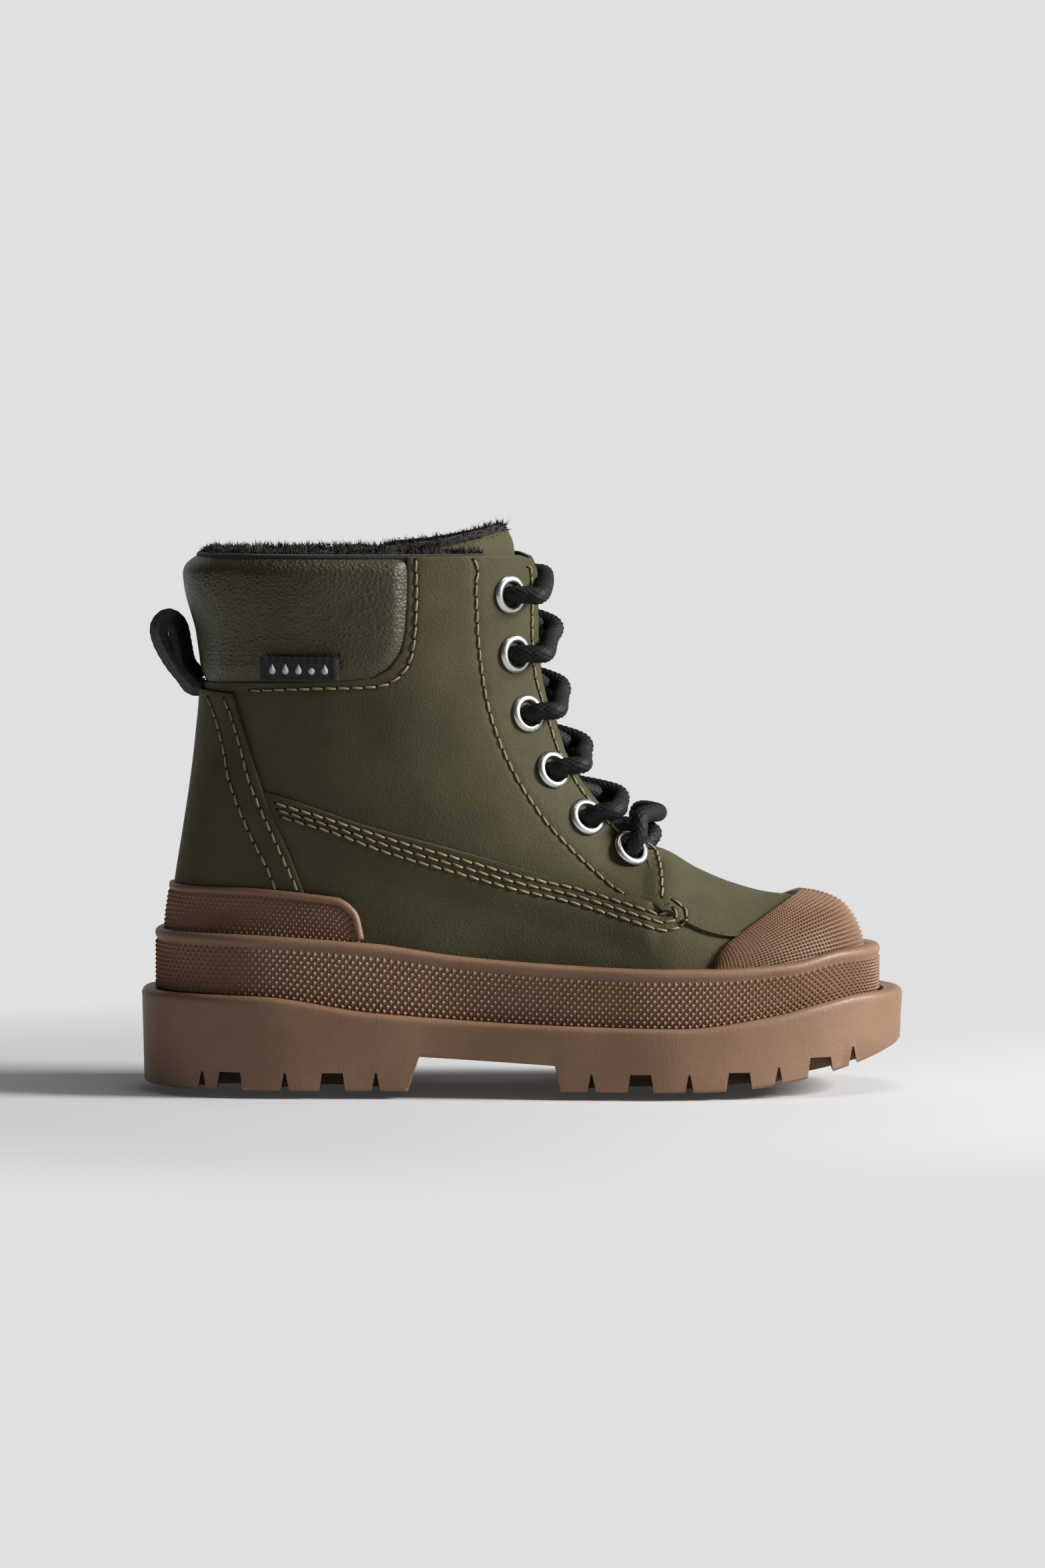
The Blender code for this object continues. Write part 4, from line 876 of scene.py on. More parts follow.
def make_outsole():
    """The lugged outsole, its raised rim and the ledge behind it."""
    count = 320

    def row(inset, height):
        back, front = OUTSOLE_BACK + inset, OUTSOLE_FRONT - inset

        def half(x):
            return plan_half(x, back, front, OUTSOLE_GROW - inset)

        return sole_ring(back, front, half, height, count, ARCH_ENDS)

    rings = [
        row(2.0, ground_z),
        row(1.2, lambda x: ground_z(x) + 0.2),
        row(0.7, lambda x: ground_z(x) + 0.8),
        row(0.5, lambda x: ground_z(x) * 0.6 + rim_z(x) * 0.4),
        row(0.15, lambda x: rim_z(x) - 2.6),
        row(0.05, lambda x: rim_z(x) - 1.5),
        row(0.35, lambda x: rim_z(x) - 0.7),
        row(1.0, lambda x: rim_z(x) - 0.15),
        row(1.9, lambda x: rim_z(x) + 0.05),
        row(3.0, lambda x: rim_z(x) - 0.05),
        row(4.1, lambda x: rim_z(x) - 0.35),
        row(5.4, lambda x: rim_z(x) - 0.4),
        row(5.6, lambda x: inner_z(x) + 1.0),
    ]
    body = stacked("outsole_tread", rings, rubber)
    points, faces = [], []
    for x, width in NOTCHES:
        depth = 15.0 if width == VEE else 22.0
        half = float(plan_half(np.array(x), OUTSOLE_BACK, OUTSOLE_FRONT, OUTSOLE_GROW))
        for side in (-1, 1):
            outer = float(centre_y(x)) + side * (half + 6)
            inner = float(centre_y(x)) + side * max(half - depth, 2.5)
            more, new = prism(notch_outline(x, width), min(outer, inner), max(outer, inner))
            faces += [tuple(i + len(points) for i in f) for f in new]
            points += more
    cutter = face_out(mesh_object("tread_notches", points, faces, rubber, smooth=False))
    boolean = body.modifiers.new("notches", "BOOLEAN")
    boolean.operation = "DIFFERENCE"
    boolean.object = cutter
    made = bpy.data.meshes.new_from_object(body.evaluated_get(bpy.context.evaluated_depsgraph_get()))
    body.modifiers.clear()
    body.data = made
    bpy.data.objects.remove(cutter)
    bevel = body.modifiers.new("worn_edges", "BEVEL")
    bevel.width = 0.35 * MM
    bevel.segments = 2
    bevel.limit_method = "ANGLE"
    bevel.angle_limit = math.radians(50)
    body.data.shade_smooth()
    body.data.set_sharp_from_angle(angle=math.radians(35))
    return shown(body, "root", "gum_rubber", "outsole")


def make_midsole():
    """The cup wall with its smooth rounded lip."""
    count = 300

    def outer(grow, height):
        return sole_row(grow, height, count)

    rings = [
        outer(4.3, lambda x: inner_z(x) + 1.2),
        outer(4.3, lambda x: foxing_z(x) - 3.0),
        outer(4.75, lambda x: foxing_z(x) - 2.5),
        outer(5.0, lambda x: foxing_z(x) - 1.7),
        outer(4.9, lambda x: foxing_z(x) - 0.9),
        outer(4.5, lambda x: foxing_z(x) - 0.35),
        outer(3.9, lambda x: foxing_z(x) - 0.05),
        ring_round_upper(foxing_z, count, 0.9),
        ring_round_upper(lambda x: foxing_z(x) - 0.4, count, 0.1),
        ring_round_upper(lambda x: inner_z(x) + 2.0, count),
    ]
    return shown(stacked("midsole_cup", rings, rubber, 60), "root", "gum_rubber", "midsole")


def diamond_sheet(name, points, normal, low, high, closed=False):
    """Four-sided pyramids on a lattice of diamonds. Every second point of the grid is a tip."""
    rows, columns = points.shape[:2]
    r, c = np.meshgrid(np.arange(rows), np.arange(columns), indexing="ij")
    tip = (r + c) % 2 == 1
    edge = (r == 0) | (r == rows - 1)
    if not closed:
        edge |= (c == 0) | (c == columns - 1)
    height = np.where(edge, low - 0.15, np.where(tip, high, low))
    raised = (points + normal * height[..., None]).reshape(-1, 3)
    faces = []
    is_tip = tip.reshape(-1)
    for a, b, far_b, far_a in quads(rows, columns, closed):
        if is_tip[a]:
            faces += [(a, b, far_a), (b, far_b, far_a)]
        else:
            faces += [(a, b, far_b), (a, far_b, far_a)]
    return mesh_object(name, raised, faces, rubber, smooth=False)


def square_sheet(name, points, normal, low, high):
    """Four-sided pyramids on square cells, with a tip over the middle of each cell."""
    rows, columns = points.shape[:2]
    edge = np.zeros((rows, columns), bool)
    edge[0] = edge[-1] = True
    edge[:, 0] = edge[:, -1] = True
    base = points + normal * np.where(edge, low - 0.2, low)[..., None]
    middle = (points[:-1, :-1] + points[1:, :-1] + points[:-1, 1:] + points[1:, 1:]) / 4
    away = (normal[:-1, :-1] + normal[1:, :-1] + normal[:-1, 1:] + normal[1:, 1:]) / 4
    tips = middle + away * high
    n = rows * columns
    faces = []
    for i, (a, b, far_b, far_a) in enumerate(quads(rows, columns)):
        faces += [(a, b, n + i), (b, far_b, n + i), (far_b, far_a, n + i), (far_a, a, n + i)]
    both = np.concatenate([base.reshape(-1, 3), tips.reshape(-1, 3)])
    return mesh_object(name, both, faces, rubber, smooth=False)


def make_midsole_texture():
    """The diamond texture of the midsole's wall, from the outsole's ledge to the smooth lip."""
    level = np.linspace(0, 1, 13)
    ring = sole_row(4.35, lambda x: 0 * x, 1200)
    loop = np.vstack([ring, ring[:1]])
    far = lengths(loop)
    columns = 2 * round(far[-1] / 0.98 / 2)
    at = np.linspace(0, far[-1], columns, endpoint=False)
    x = np.interp(at, far, loop[:, 0])
    y = np.interp(at, far, loop[:, 1])
    low = rim_z(x) - 0.9
    high = foxing_z(x) - 2.9
    z = low[None] + (high - low)[None] * level[:, None]
    points = np.stack([np.broadcast_to(x, z.shape), np.broadcast_to(y, z.shape), z], -1)
    normal = normals_of(points, (0, 0, 30), closed=True)
    made = diamond_sheet("midsole_texture", points, normal, -0.15, 0.68, closed=True)
    return shown(face_out(made), "root", "gum_rubber")


RAND_TOP = [(-99, 55.4), (-75.7, 55.6), (-54.3, 53.5), (-50.8, 52.6), (-48.6, 50.8), (-47.0, 48.4),
            (-45.7, 42.2)]


def make_heel_rand():
    """The heel rand's textured wall with a smooth bead on its top and front edge."""
    right = [(-44.6, 32), (-45.9, 42), (-47.4, 47.6)]
    bottom = [(float(back_x(32)), 32), (-44.6, 32)]
    top = [(float(back_x(54.8)), 54.8), (-75.7, 54.8), (-54.6, 52.7), (-51.0, 51.7), (-49.0, 50.0), right[-1]]
    left = silhouette_back(32, 54.8, 12)
    grid = patch(bottom, top, left, right, 60, 30, ease_left=True)
    points = even_columns(around(grid, "heel"), 200)
    normal = normals_of(points, (-60, 0, 45))
    body = shell("heel_rand_body", points, normal, 2.25, 2.0, rubber)
    shown(body, "root", "gum_rubber", "heel_rand")
    rows = even_columns(around(patch(bottom, top, left, right, 60, 19, ease_left=True), "heel"), 171)
    cells = diamond_sheet("heel_rand_texture", rows, normals_of(rows, (-60, 0, 45)), 2.1, 2.95)
    shown(face_out(cells), "root", "gum_rubber")
    bead = []
    for side in (-1, 1):
        line = rounded(RAND_TOP, 12)
        bead.append(beside_upper(line, side, 1.9))
    path = np.concatenate([bead[1][::-1], bead[0][1:]])
    points, faces = tube_block(resample_path(path, 1.2), 1.15, 12)
    shown(face_out(mesh_object("heel_rand_bead", points, faces, rubber)), "root", "gum_rubber")


def beside_upper(line, side, out):
    """3-D points of a dense side-view line, at a distance off the upper."""
    x, z = line[:, 0], line[:, 1]
    x = np.maximum(x, back_x(z) + 0.02)
    half = half_width(x, z)
    place = np.stack([x, centre_y(x) + side * half, z], -1)
    step = 0.6
    du = np.stack([x + step, centre_y(x + step) + side * half_width(x + step, z), z], -1) - place
    dv = np.stack([x, centre_y(x) + side * half_width(x, z + step), z + step], -1) - place
    normal = np.cross(du, dv)
    normal /= np.maximum(np.linalg.norm(normal, axis=1, keepdims=True), 1e-9)
    normal *= np.where(normal[:, 1:2] * side < 0, -1, 1)
    return place + normal * out


def resample_path(path, step):
    """Points at even steps along a path."""
    path = np.asarray(path, float)
    far = lengths(path)
    at = np.linspace(0, far[-1], max(3, round(far[-1] / step)))
    return np.stack([np.interp(at, far, path[:, k]) for k in range(3)], -1)


CAP_REAR = [(53.8, 34.3), (55.4, 38), (57.6, 40.9), (64.4, 45.2), (69.8, 48.2), (75.5, 51.1), (78.6, 52.5)]


def make_toe_cap():
    """The toe cap's textured dome."""
    right = [(x, z) for x, z in silhouette_toe(60, low=28.0) if x >= 79.2]
    bottom = [(50.5, 28), (75, 28), (88, 28), (UPPER_FRONT, 28)]
    top = CAP_REAR + [(right[-1][0], right[-1][1])]
    left = [(50.5, 28), (53.8, 34.3)]
    grid = patch(bottom, top, left, right, 70, 24, ease_right=True)
    points = even_columns(around(grid, "toe"), 150)
    normal = normals_of(points, (60, 0, 25))
    body = shell("toe_cap_body", points, normal, 1.45, 1.4, rubber)
    shown(body, "root", "gum_rubber", "toe_cap")
    cells = even_columns(around(patch(bottom, top, left, right, 70, 30, ease_right=True), "toe"), 104)
    made = square_sheet("toe_cap_texture", cells, normals_of(cells, (60, 0, 25)), 1.35, 2.1)
    shown(face_out(made), "root", "gum_rubber")


# ---------------------------------------------------------------- upper

QUARTER_EDGE = [(-74, 115.0), (-50.3, 115.3), (-42.5, 116.2), (-37.5, 119.0), (-34.2, 123.6), (-33.0, 129),
                (-32.5, 140)]


def make_quarter(word, side):
    """A side panel with its four seams."""
    front = quarter_front()
    xs = np.linspace(-91.5, 36.5, 40)
    under = 3.5 * ease((38.5 - xs) / 6)
    bottom = [(float(x), float(vamp_line(x)) - float(u)) for x, u in zip(xs, under)]
    bottom += [(39.0, 51.6), front[0]]
    top = [(float(back_x(114.4)), 114.4)] + QUARTER_EDGE + [(-32.3, TOP_Z), (-18, TOP_Z), front[-1]]
    left = silhouette_back(84, 114.4, 8)
    left[0] = bottom[0]
    corner = share_of(top, len(QUARTER_EDGE) + 1)
    grid = patch(bottom, top, left, front, 170, 130, ease_left=True, ease_right=True, corners=(corner,))
    points = lifted(grid, side)
    normal = normals_of(points, (-20, 0, 80))
    x, z = grid[..., 0], grid[..., 1]
    seams = [EYESTAY_SEAM, FRONT_SEAM, COLLAR_SEAM, front_edge_seam()]
    out = quarter_out(x, z) - sewn_dip(x, z, seams)
    body = shell("quarter_" + word + "_panel", points, normal, out, 1.2, nubuck)
    shown(body, "root", "olive_nubuck", "quarter_" + word)
    sew("quarter_" + word, "root", [(line, side, quarter_out) for line in seams])


def front_edge_seam():
    """A row of stitches just inside the front edge of the quarter."""
    edge = [(x - 1.9, z) for x, z in quarter_front()[3:-2]]
    return edge[::2] + [(edge[-1][0] - 0.8, edge[-1][1] + 1.2)]


def make_vamp():
    """The front panel, round both sides of the boot, with its triple seams."""
    xs = np.linspace(float(back_x(88)), 37.0, 60)
    top = [(float(x), float(vamp_line(x))) for x in xs]
    top += [(39.8, 49.8), (38.6, 53), (36.4, 60), (34.6, 66.2), (37.5, 66.4)]
    bottom = [(float(back_x(27)), 27), (-40, 25), (10, 22), (60, 22), (UPPER_FRONT, 26)]
    left = silhouette_back(27, 88, 20)
    left[-1] = top[0]
    right = [(UPPER_FRONT, 26), (UPPER_FRONT - 0.1, 32.0)]
    right += [(float(x), float(instep_z(x))) for x in np.linspace(96.4, 37.5, 60)]
    corner = share_of(top, len(xs) - 1)
    grid = patch(bottom, top, left, right, 260, 90, ease_left=True, ease_right=True, corners=(corner,))
    points = around(grid, "both")
    normal = normals_of(points, (0, 0, 30), closed=True)
    x, z = points[..., 0], points[..., 2]
    seams = [VAMP_SEAM_A, VAMP_SEAM_B, VAMP_SEAM_C]
    out = vamp_out(x, z) - sewn_dip(x, z, seams)
    body = shell("vamp_panel", points, normal, out, 1.2, nubuck, closed=True)
    shown(body, "root", "olive_nubuck", "vamp")
    sew("vamp", "root", [(line, side, vamp_out) for line in seams for side in (-1, 1)])


def make_backstay():
    """The strip up the heel, with two seams on each side."""
    edge = [(-61.2, 54.3), (-65.5, 65.6), (-69.8, 76.5), (-73.1, 84.1), (-76, 93.2), (-78.3, 101.3),
            (-81.4, 111.6)]
    bottom = [(float(back_x(54.3)), 54.3), edge[0]]
    top = [(float(back_x(112.2)), 112.2), edge[-1]]
    grid = patch(bottom, top, silhouette_back(54.3, 112.2, 20), edge, 46, 70, ease_left=True)
    points = even_columns(around(grid, "heel"), 130)
    normal = normals_of(points, (-60, 0, 80))
    x, z = points[..., 0], points[..., 2]
    seams = [BACK_SEAM_OUTER, BACK_SEAM_INNER]
    out = backstay_out(x, z) - sewn_dip(x, z, seams)
    body = shell("backstay_panel", points, normal, out, 1.2, nubuck)
    shown(body, "root", "olive_nubuck", "backstay")
    sew("backstay", "root", [(line, side, backstay_out) for line in seams for side in (-1, 1)])


# ---------------------------------------------------------------- padded pieces


def pillow(name, outer, inner, look):
    """A closed soft piece between two grids."""
    both = np.concatenate([outer.reshape(-1, 3), inner.reshape(-1, 3)])
    pad = mesh_object(name, both, wrapped(*outer.shape[:2]), look)
    body = bmesh.new()
    body.from_mesh(pad.data)
    bmesh.ops.recalc_face_normals(body, faces=body.faces)
    body.to_mesh(pad.data)
    body.free()
    pad.data.shade_smooth()
    return pad


def swell(obj, pressure, most, give):
    """Blow a pillow up with cloth simulation. Its outer face moves at most this far, times give."""
    keep = np.concatenate([give.reshape(-1), np.zeros(give.size)])
    start = np.array([v.co for v in obj.data.vertices])
    held = obj.vertex_groups.new(name="held")
    for i, k in enumerate(keep):
        held.add([i], float(1 - k), "REPLACE")
    cloth = obj.modifiers.new("padding", "CLOTH")
    cloth.settings.quality = 5
    cloth.settings.mass = 0.15
    cloth.settings.use_pressure = True
    cloth.settings.uniform_pressure_force = pressure
    cloth.settings.tension_stiffness = 20
    cloth.settings.compression_stiffness = 20
    cloth.settings.bending_stiffness = 0.4
    cloth.settings.vertex_group_mass = "held"
    cloth.settings.effector_weights.gravity = 0
    for step in range(1, 21):
        bpy.context.scene.frame_set(step)
    graph = bpy.context.evaluated_depsgraph_get()
    blown = obj.evaluated_get(graph).to_mesh()
    moved = np.array([v.co for v in blown.vertices]) - start
    obj.evaluated_get(graph).to_mesh_clear()
    obj.modifiers.remove(cloth)
    size = np.linalg.norm(moved, axis=1, keepdims=True)
    moved *= np.minimum(1, most * MM / np.maximum(size, 1e-9)) * keep[:, None]
    for vert, place in zip(obj.data.vertices, start + moved):
        vert.co = place
    obj.vertex_groups.clear()
    bpy.context.scene.frame_set(1)


def subdivide(obj, levels):
    """Smooth a pillow's faces."""
    rounding = obj.modifiers.new("rounding", "SUBSURF")
    rounding.levels = rounding.render_levels = levels


def make_collar():
    """The padded collar, tucked under the quarters' folded edges."""
    low, high = 111.8, TOP_Z - 0.2
    bottom = [(float(back_x(low)), low), (-74, 112.4), (-50.3, 112.8), (-41.0, 113.6), (-34.8, 117.4)]
    right = [(-34.8, 117.4), (-31.4, 123), (-30.4, 129), (-30.2, high)]
    top = [(float(back_x(high)), high), (-30.2, high)]
    grid = patch(bottom, top, silhouette_back(low, high, 10), right, 26, 19, ease_left=True)
    points = even_columns(around(grid, "heel"), 91)
    normal = normals_of(points, (-60, 0, 130))
    x, z = points[..., 0], points[..., 2]
    edge = [(float(back_x(114.4)) - 5, 114.4)] + QUARTER_EDGE + [(-32.5, 160)]
    beyond = near_line(x, z, [edge])
    outside = (x > -33) | (z < np.interp(x, *np.array(edge[:-1]).T))
    beyond = np.where(outside, -beyond, beyond)
    fold = ease((beyond + 1.0) / 4.2)
    at_heel = np.clip((-60 - x) / 36, 0, 1)
    puff = np.interp(z, [113, 120, 127, 133, 141, 146, 150.6], [0.6, 1.1, 1.7, 2.2, 2.6, 2.6, 1.0])
    puff = puff + at_heel * np.interp(z, [113, 122, 133, 141, 147, 150.6], [0.0, 0.2, 0.8, 1.3, 1.4, 0.9])
    roll = np.sqrt(np.clip(1 - np.clip((z - (high - 3.6)) / 3.6, 0, 1) ** 2, 0, 1))
    out = -0.9 + (puff + 0.9) * fold
    out = -2.2 + (out + 2.2) * (0.25 + 0.75 * roll)
    outer = points + normal * out[..., None]
    inner = points + normal * np.minimum(out - 0.9, -2.6)[..., None]
    pad = pillow("collar_padding", outer, inner, leather)
    swell(pad, 4.0, 1.2, fold * (0.2 + 0.8 * roll))
    subdivide(pad, 2)
    shown(pad, "root", "olive_leather", "collar_pad", "collar_foam")


def tongue_grid(depth, rows, columns, spare=0.0):
    """The tongue's sheet. Its wings reach back over the top of the shaft and slope down."""
    points = []
    for share in np.linspace(0, 1, rows):
        row = []
        for across in np.linspace(-1, 1, columns):
            top = TONGUE_TOP - spare * 0.5 - 6.4 * abs(across) ** 2.4
            height = 71 + share * (top - 71)
            half = tongue_half(min(height, 147.0)) + 6.0 * float(ease((height - 138) / 11)) - spare
            y = across * half
            x = float(front_x(np.array(height), y, -depth))
            row.append((x, float(centre_y(x)) + y, height))
        points.append(row)
    return np.array(points)


def make_tongue():
    """The padded tongue."""
    points = tongue_grid(TONGUE_OUT, 32, 19)
    normal = normals_of(points, (-40, 0, 105))
    rows, columns = points.shape[:2]
    r = np.linspace(0, 1, rows)[:, None]
    c = np.linspace(-1, 1, columns)[None]
    crown = (1 - np.abs(c) ** 3.5) * (1 - np.clip((r - 0.93) / 0.07, 0, 1) ** 2) ** 0.5
    outer = points + normal * (-1.4 + 1.8 * crown)[..., None]
    inner = points + normal * (-2.0 - 1.6 * crown)[..., None]
    pad = pillow("tongue_padded", outer, inner, nubuck)
    swell(pad, 3.0, 0.8, crown)
    subdivide(pad, 1)
    shown(pad, "tongue_flap", "olive_nubuck", "tongue", "tongue_padding")


# ---------------------------------------------------------------- pile


FIBRE = 0.32  # width of one pile fibre at its root


def tufts(name, roots, normals, length, lean, seed):
    """Curved tapering fibres standing on a surface, leaning together in clumps."""
    rng = np.random.default_rng(seed)
    count = len(roots)
    clump = np.sin(roots * np.array([0.9, 1.1, 0.8])) + np.sin(roots[:, [1, 2, 0]] * 1.7)
    direction = normals * 1.0 + np.array(lean) + 0.35 * clump + 0.38 * rng.standard_normal((count, 3))
    direction /= np.linalg.norm(direction, axis=1, keepdims=True)
    bend = 0.45 * rng.standard_normal((count, 3)) + 0.3 * clump
    side = np.cross(direction, rng.standard_normal((count, 3)))
    side /= np.linalg.norm(side, axis=1, keepdims=True)
    size = length * rng.uniform(0.55, 1.25, count)[:, None]
    root = roots - normals * 0.3
    middle = root + direction * size * 0.55
    tip = root + direction * size + bend * size * 0.35
    low, high = side * FIBRE / 2, side * FIBRE / 2 * 0.8
    points = np.stack([root - low, root + low, middle - high, middle + high, tip], 1)
    first = np.arange(count)[:, None] * 5
    faces = [tuple(f) for f in first + np.array([[0, 1, 3, 2]])]
    faces += [tuple(f) for f in first + np.array([[2, 3, 4]])]
    return mesh_object(name, points.reshape(-1, 3), faces, pile)


def on_grid(points, normals, count, seed):
    """Random places on a grid of points, with their normals."""
    rng = np.random.default_rng(seed)
    r_max, c_max = points.shape[0] - 1, points.shape[1] - 1
    r = rng.uniform(0, r_max, count)
    c = rng.uniform(0, c_max, count)
    ri, ci = np.minimum(r.astype(int), r_max - 1), np.minimum(c.astype(int), c_max - 1)
    fr, fc = (r - ri)[:, None], (c - ci)[:, None]

    def mix(grid):
        low_row = grid[ri, ci] * (1 - fc) + grid[ri, ci + 1] * fc
        high_row = grid[ri + 1, ci] * (1 - fc) + grid[ri + 1, ci + 1] * fc
        return low_row * (1 - fr) + high_row * fr

    normal = mix(normals)
    return mix(points), normal / np.linalg.norm(normal, axis=1, keepdims=True)


# Each row of the inner boot rises from a height at the heel to a height at the front
SOCK_ROWS = ((38, 36), (48, 46), (55, 51.5), (61, 55), (67, 59.5), (76, 70), (87, 82), (104, 102),
             (126, 125), (149.6, 149.6))


def inner_row(heel_z, front_z, side_columns, strip_columns, nose_columns):
    """One side of a row of the upper's face, from the heel to the front."""
    back = float(back_x(heel_z))
    front = nose_x(front_z) if front_z < THROAT_Z else throat_x(front_z)
    slope = (front_z - heel_z) / (float(front) - back)

    def height(x):
        return heel_z + slope * (x - back)

    def reach(y):
        near, far = back / 2, 105.0
        for _ in range(30):
            middle = (near + far) / 2
            wide = float(half_width(middle, height(middle))) > y
            near, far = (middle, far) if wide else (near, middle)
        return near

    edge, front = reach(EDGE_Y), reach(0.05)
    strip = edge - 16.0
    side = back + (strip - back) * (1 - np.cos(np.linspace(0, math.pi / 2, side_columns)))
    ahead = np.linspace(strip, edge, strip_columns + 1)[1:]
    tip = edge + (front - edge) * np.sin(np.linspace(0, math.pi / 2, nose_columns + 1))[1:]
    x = np.concatenate([side, ahead, tip])
    wide = half_width(x, height(x))
    wide[0] = wide[-1] = 0
    return x, wide, height(x)


NOSE_COLUMNS = 8


def inner_grid(share_rows):
    """Rows of the foot-shaped inner surface: heel in the middle, front ends outermost."""
    levels = np.arange(len(SOCK_ROWS))
    at = np.linspace(0, len(SOCK_ROWS) - 1, share_rows)
    heel = np.interp(at, levels, [r[0] for r in SOCK_ROWS])
    front = np.interp(at, levels, [r[1] for r in SOCK_ROWS])
    rows = []
    for heel_z, front_z in zip(heel, front):
        x, wide, z = inner_row(heel_z, front_z, 26, 5, NOSE_COLUMNS)
        outer = np.stack([x, centre_y(x) - wide, z], -1)
        inner = np.stack([x, centre_y(x) + wide, z], -1)
        rows.append(np.concatenate([inner[::-1], outer[1:]]))
    return np.array(rows), at


def make_lining():
    """The pile lining's inner face: shaft, foot and toe."""
    points, at = inner_grid(44)
    normal = normals_of(points, (-40, 0, 80))
    nose = NOSE_COLUMNS
    shaft_rows = int(np.searchsorted(at, 5.0))
    rng = np.random.default_rng(5)
    rough = 0.35 * rng.standard_normal(points.shape[:2])
    faced = points - normal * (7.0 + rough)[..., None]
    shaft, shaft_normal = faced[shaft_rows:, nose:-nose], -normal[shaft_rows:, nose:-nose]
    rows, columns = faced.shape[:2]

    def across_throat(f):
        return f[0] // columns >= shaft_rows and (f[0] % columns < nose or f[1] % columns >= columns - nose)

    keep = [f for f in quads(rows, columns) if not across_throat(f)]
    used = sorted({int(i) for f in keep for i in f})
    place = {old: new for new, old in enumerate(used)}
    kept_faces = [tuple(place[int(i)] for i in f) for f in keep]
    sheet = mesh_object("pile_lining", faced.reshape(-1, 3)[used], kept_faces, pile)
    wall = sheet.modifiers.new("pile_depth", "SOLIDIFY")
    wall.thickness = 1.0 * MM
    wall.offset = 0.0
    shown(sheet, "root", "dark_pile", "lining")
    where, normals = on_grid(shaft, shaft_normal, 9000, 11)
    shown(tufts("pile_lining_fibres", where, normals, 1.7, (0, 0, 0.3), 12), "root", "dark_pile")


RIM_END = -9.0  # where the binding of the top line stops, at the tongue


def rim_path(inset, height):
    """The top line of the shaft from one front edge round the heel to the other."""
    x, wide, _ = inner_row(149.6, 149.6, 60, 8, 6)
    keep = x < RIM_END
    x, wide = x[keep], wide[keep]
    outer = np.stack([x, centre_y(x) - wide, np.full_like(x, height)], -1)
    inner = np.stack([x, centre_y(x) + wide, np.full_like(x, height)], -1)
    run = np.concatenate([inner[::-1], outer[1:]])
    ahead = np.gradient(run, axis=0)
    side = np.stack([ahead[:, 1], -ahead[:, 0], 0 * x.repeat(2)[1:]], -1)
    side /= np.linalg.norm(side, axis=1, keepdims=True)
    centre = run.mean(0)
    if ((run - centre) * side).sum() < 0:
        side = -side
    return run - side * inset


def make_rim():
    """The binding at the top of the shaft and the pile that stands over it."""
    path = rim_path(1.5, 150.2)
    points, faces = tube_block(resample_path(path, 1.5), 1.0, 10)
    shown(face_out(mesh_object("collar_binding", points, faces, fabric)), "root", "dark_fabric")
    path = rim_path(4.4, 149.6)
    rng = np.random.default_rng(3)
    dense = resample_path(path, 0.8)
    lump = 2.3 + 0.25 * np.sin(np.arange(len(dense)) * 0.31) + 0.2 * rng.standard_normal(len(dense))
    points, faces = tube_block(dense, lump, 14)
    shown(face_out(mesh_object("pile_roll", points, faces, pile)), "root", "dark_pile")
    count = 7000
    at = rng.uniform(0, len(dense) - 1.001, count)
    i = at.astype(int)
    f = (at - i)[:, None]
    centre = dense[i] * (1 - f) + dense[i + 1] * f
    ahead = dense[i + 1] - dense[i]
    ahead /= np.linalg.norm(ahead, axis=1, keepdims=True)
    across = np.cross(ahead, [0, 0, 1.0])
    angle = rng.uniform(-0.2, math.pi + 0.2, count)[:, None]
    normal = np.cos(angle) * across + np.sin(angle) * np.array([0, 0, 1.0])
    made = tufts("pile_roll_fibres", centre + normal * 2.1, normal, 1.7, (0, 0, 0.25), 21)
    shown(made, "root", "dark_pile")


def make_tongue_pile():
    """The pile lining of the tongue, standing over its top edge and beside it."""
    points = tongue_grid(TONGUE_OUT + 4.3, 30, 17, 3.5)
    normal = normals_of(points, (-40, 0, 105))
    made = shell("tongue_pile", points, normal, 0.3, 1.3, pile)
    shown(made, "tongue_flap", "dark_pile", "tongue_lining")
    where, normals = on_grid(points, -normal, 3200, 31)
    made = tufts("tongue_pile_fibres", where + normals * 0.6, normals, 1.6, (0, 0, 0.3), 32)
    shown(made, "tongue_flap", "dark_pile")
    top = tongue_grid(TONGUE_OUT + 3.2, 30, 25, 0.6)
    edge = np.concatenate([top[14:, 0], top[-1], top[14:, -1][::-1]])
    points, faces = tube_block(resample_path(edge, 1.0), 1.5, 10)
    shown(face_out(mesh_object("tongue_pile_roll", points, faces, pile)), "tongue_flap", "dark_pile")
    rng = np.random.default_rng(33)
    dense = resample_path(edge, 0.5)
    count = 3600
    i = rng.integers(0, len(dense) - 1, count)
    ahead = dense[i + 1] - dense[i]
    ahead /= np.linalg.norm(ahead, axis=1, keepdims=True)
    out = rng.standard_normal((count, 3))
    out -= ahead * (out * ahead).sum(1, keepdims=True)
    out /= np.linalg.norm(out, axis=1, keepdims=True)
    made = tufts("tongue_edge_fibres", dense[i] + out * 1.3, out, 1.9, (0, 0, 0.35), 34)
    shown(made, "tongue_flap", "dark_pile")


TONGUE_HALF, TONGUE_TOP = 21.0, 157.6


def tongue_half(height):
    """Half width of the tongue: narrower at its base, with rounded top corners."""
    corner = max(0.0, (height - 148) / 10)
    return TONGUE_HALF * (0.66 + 0.34 * min(1.0, (height - 70) / 30)) * (1 - 0.25 * corner**2)


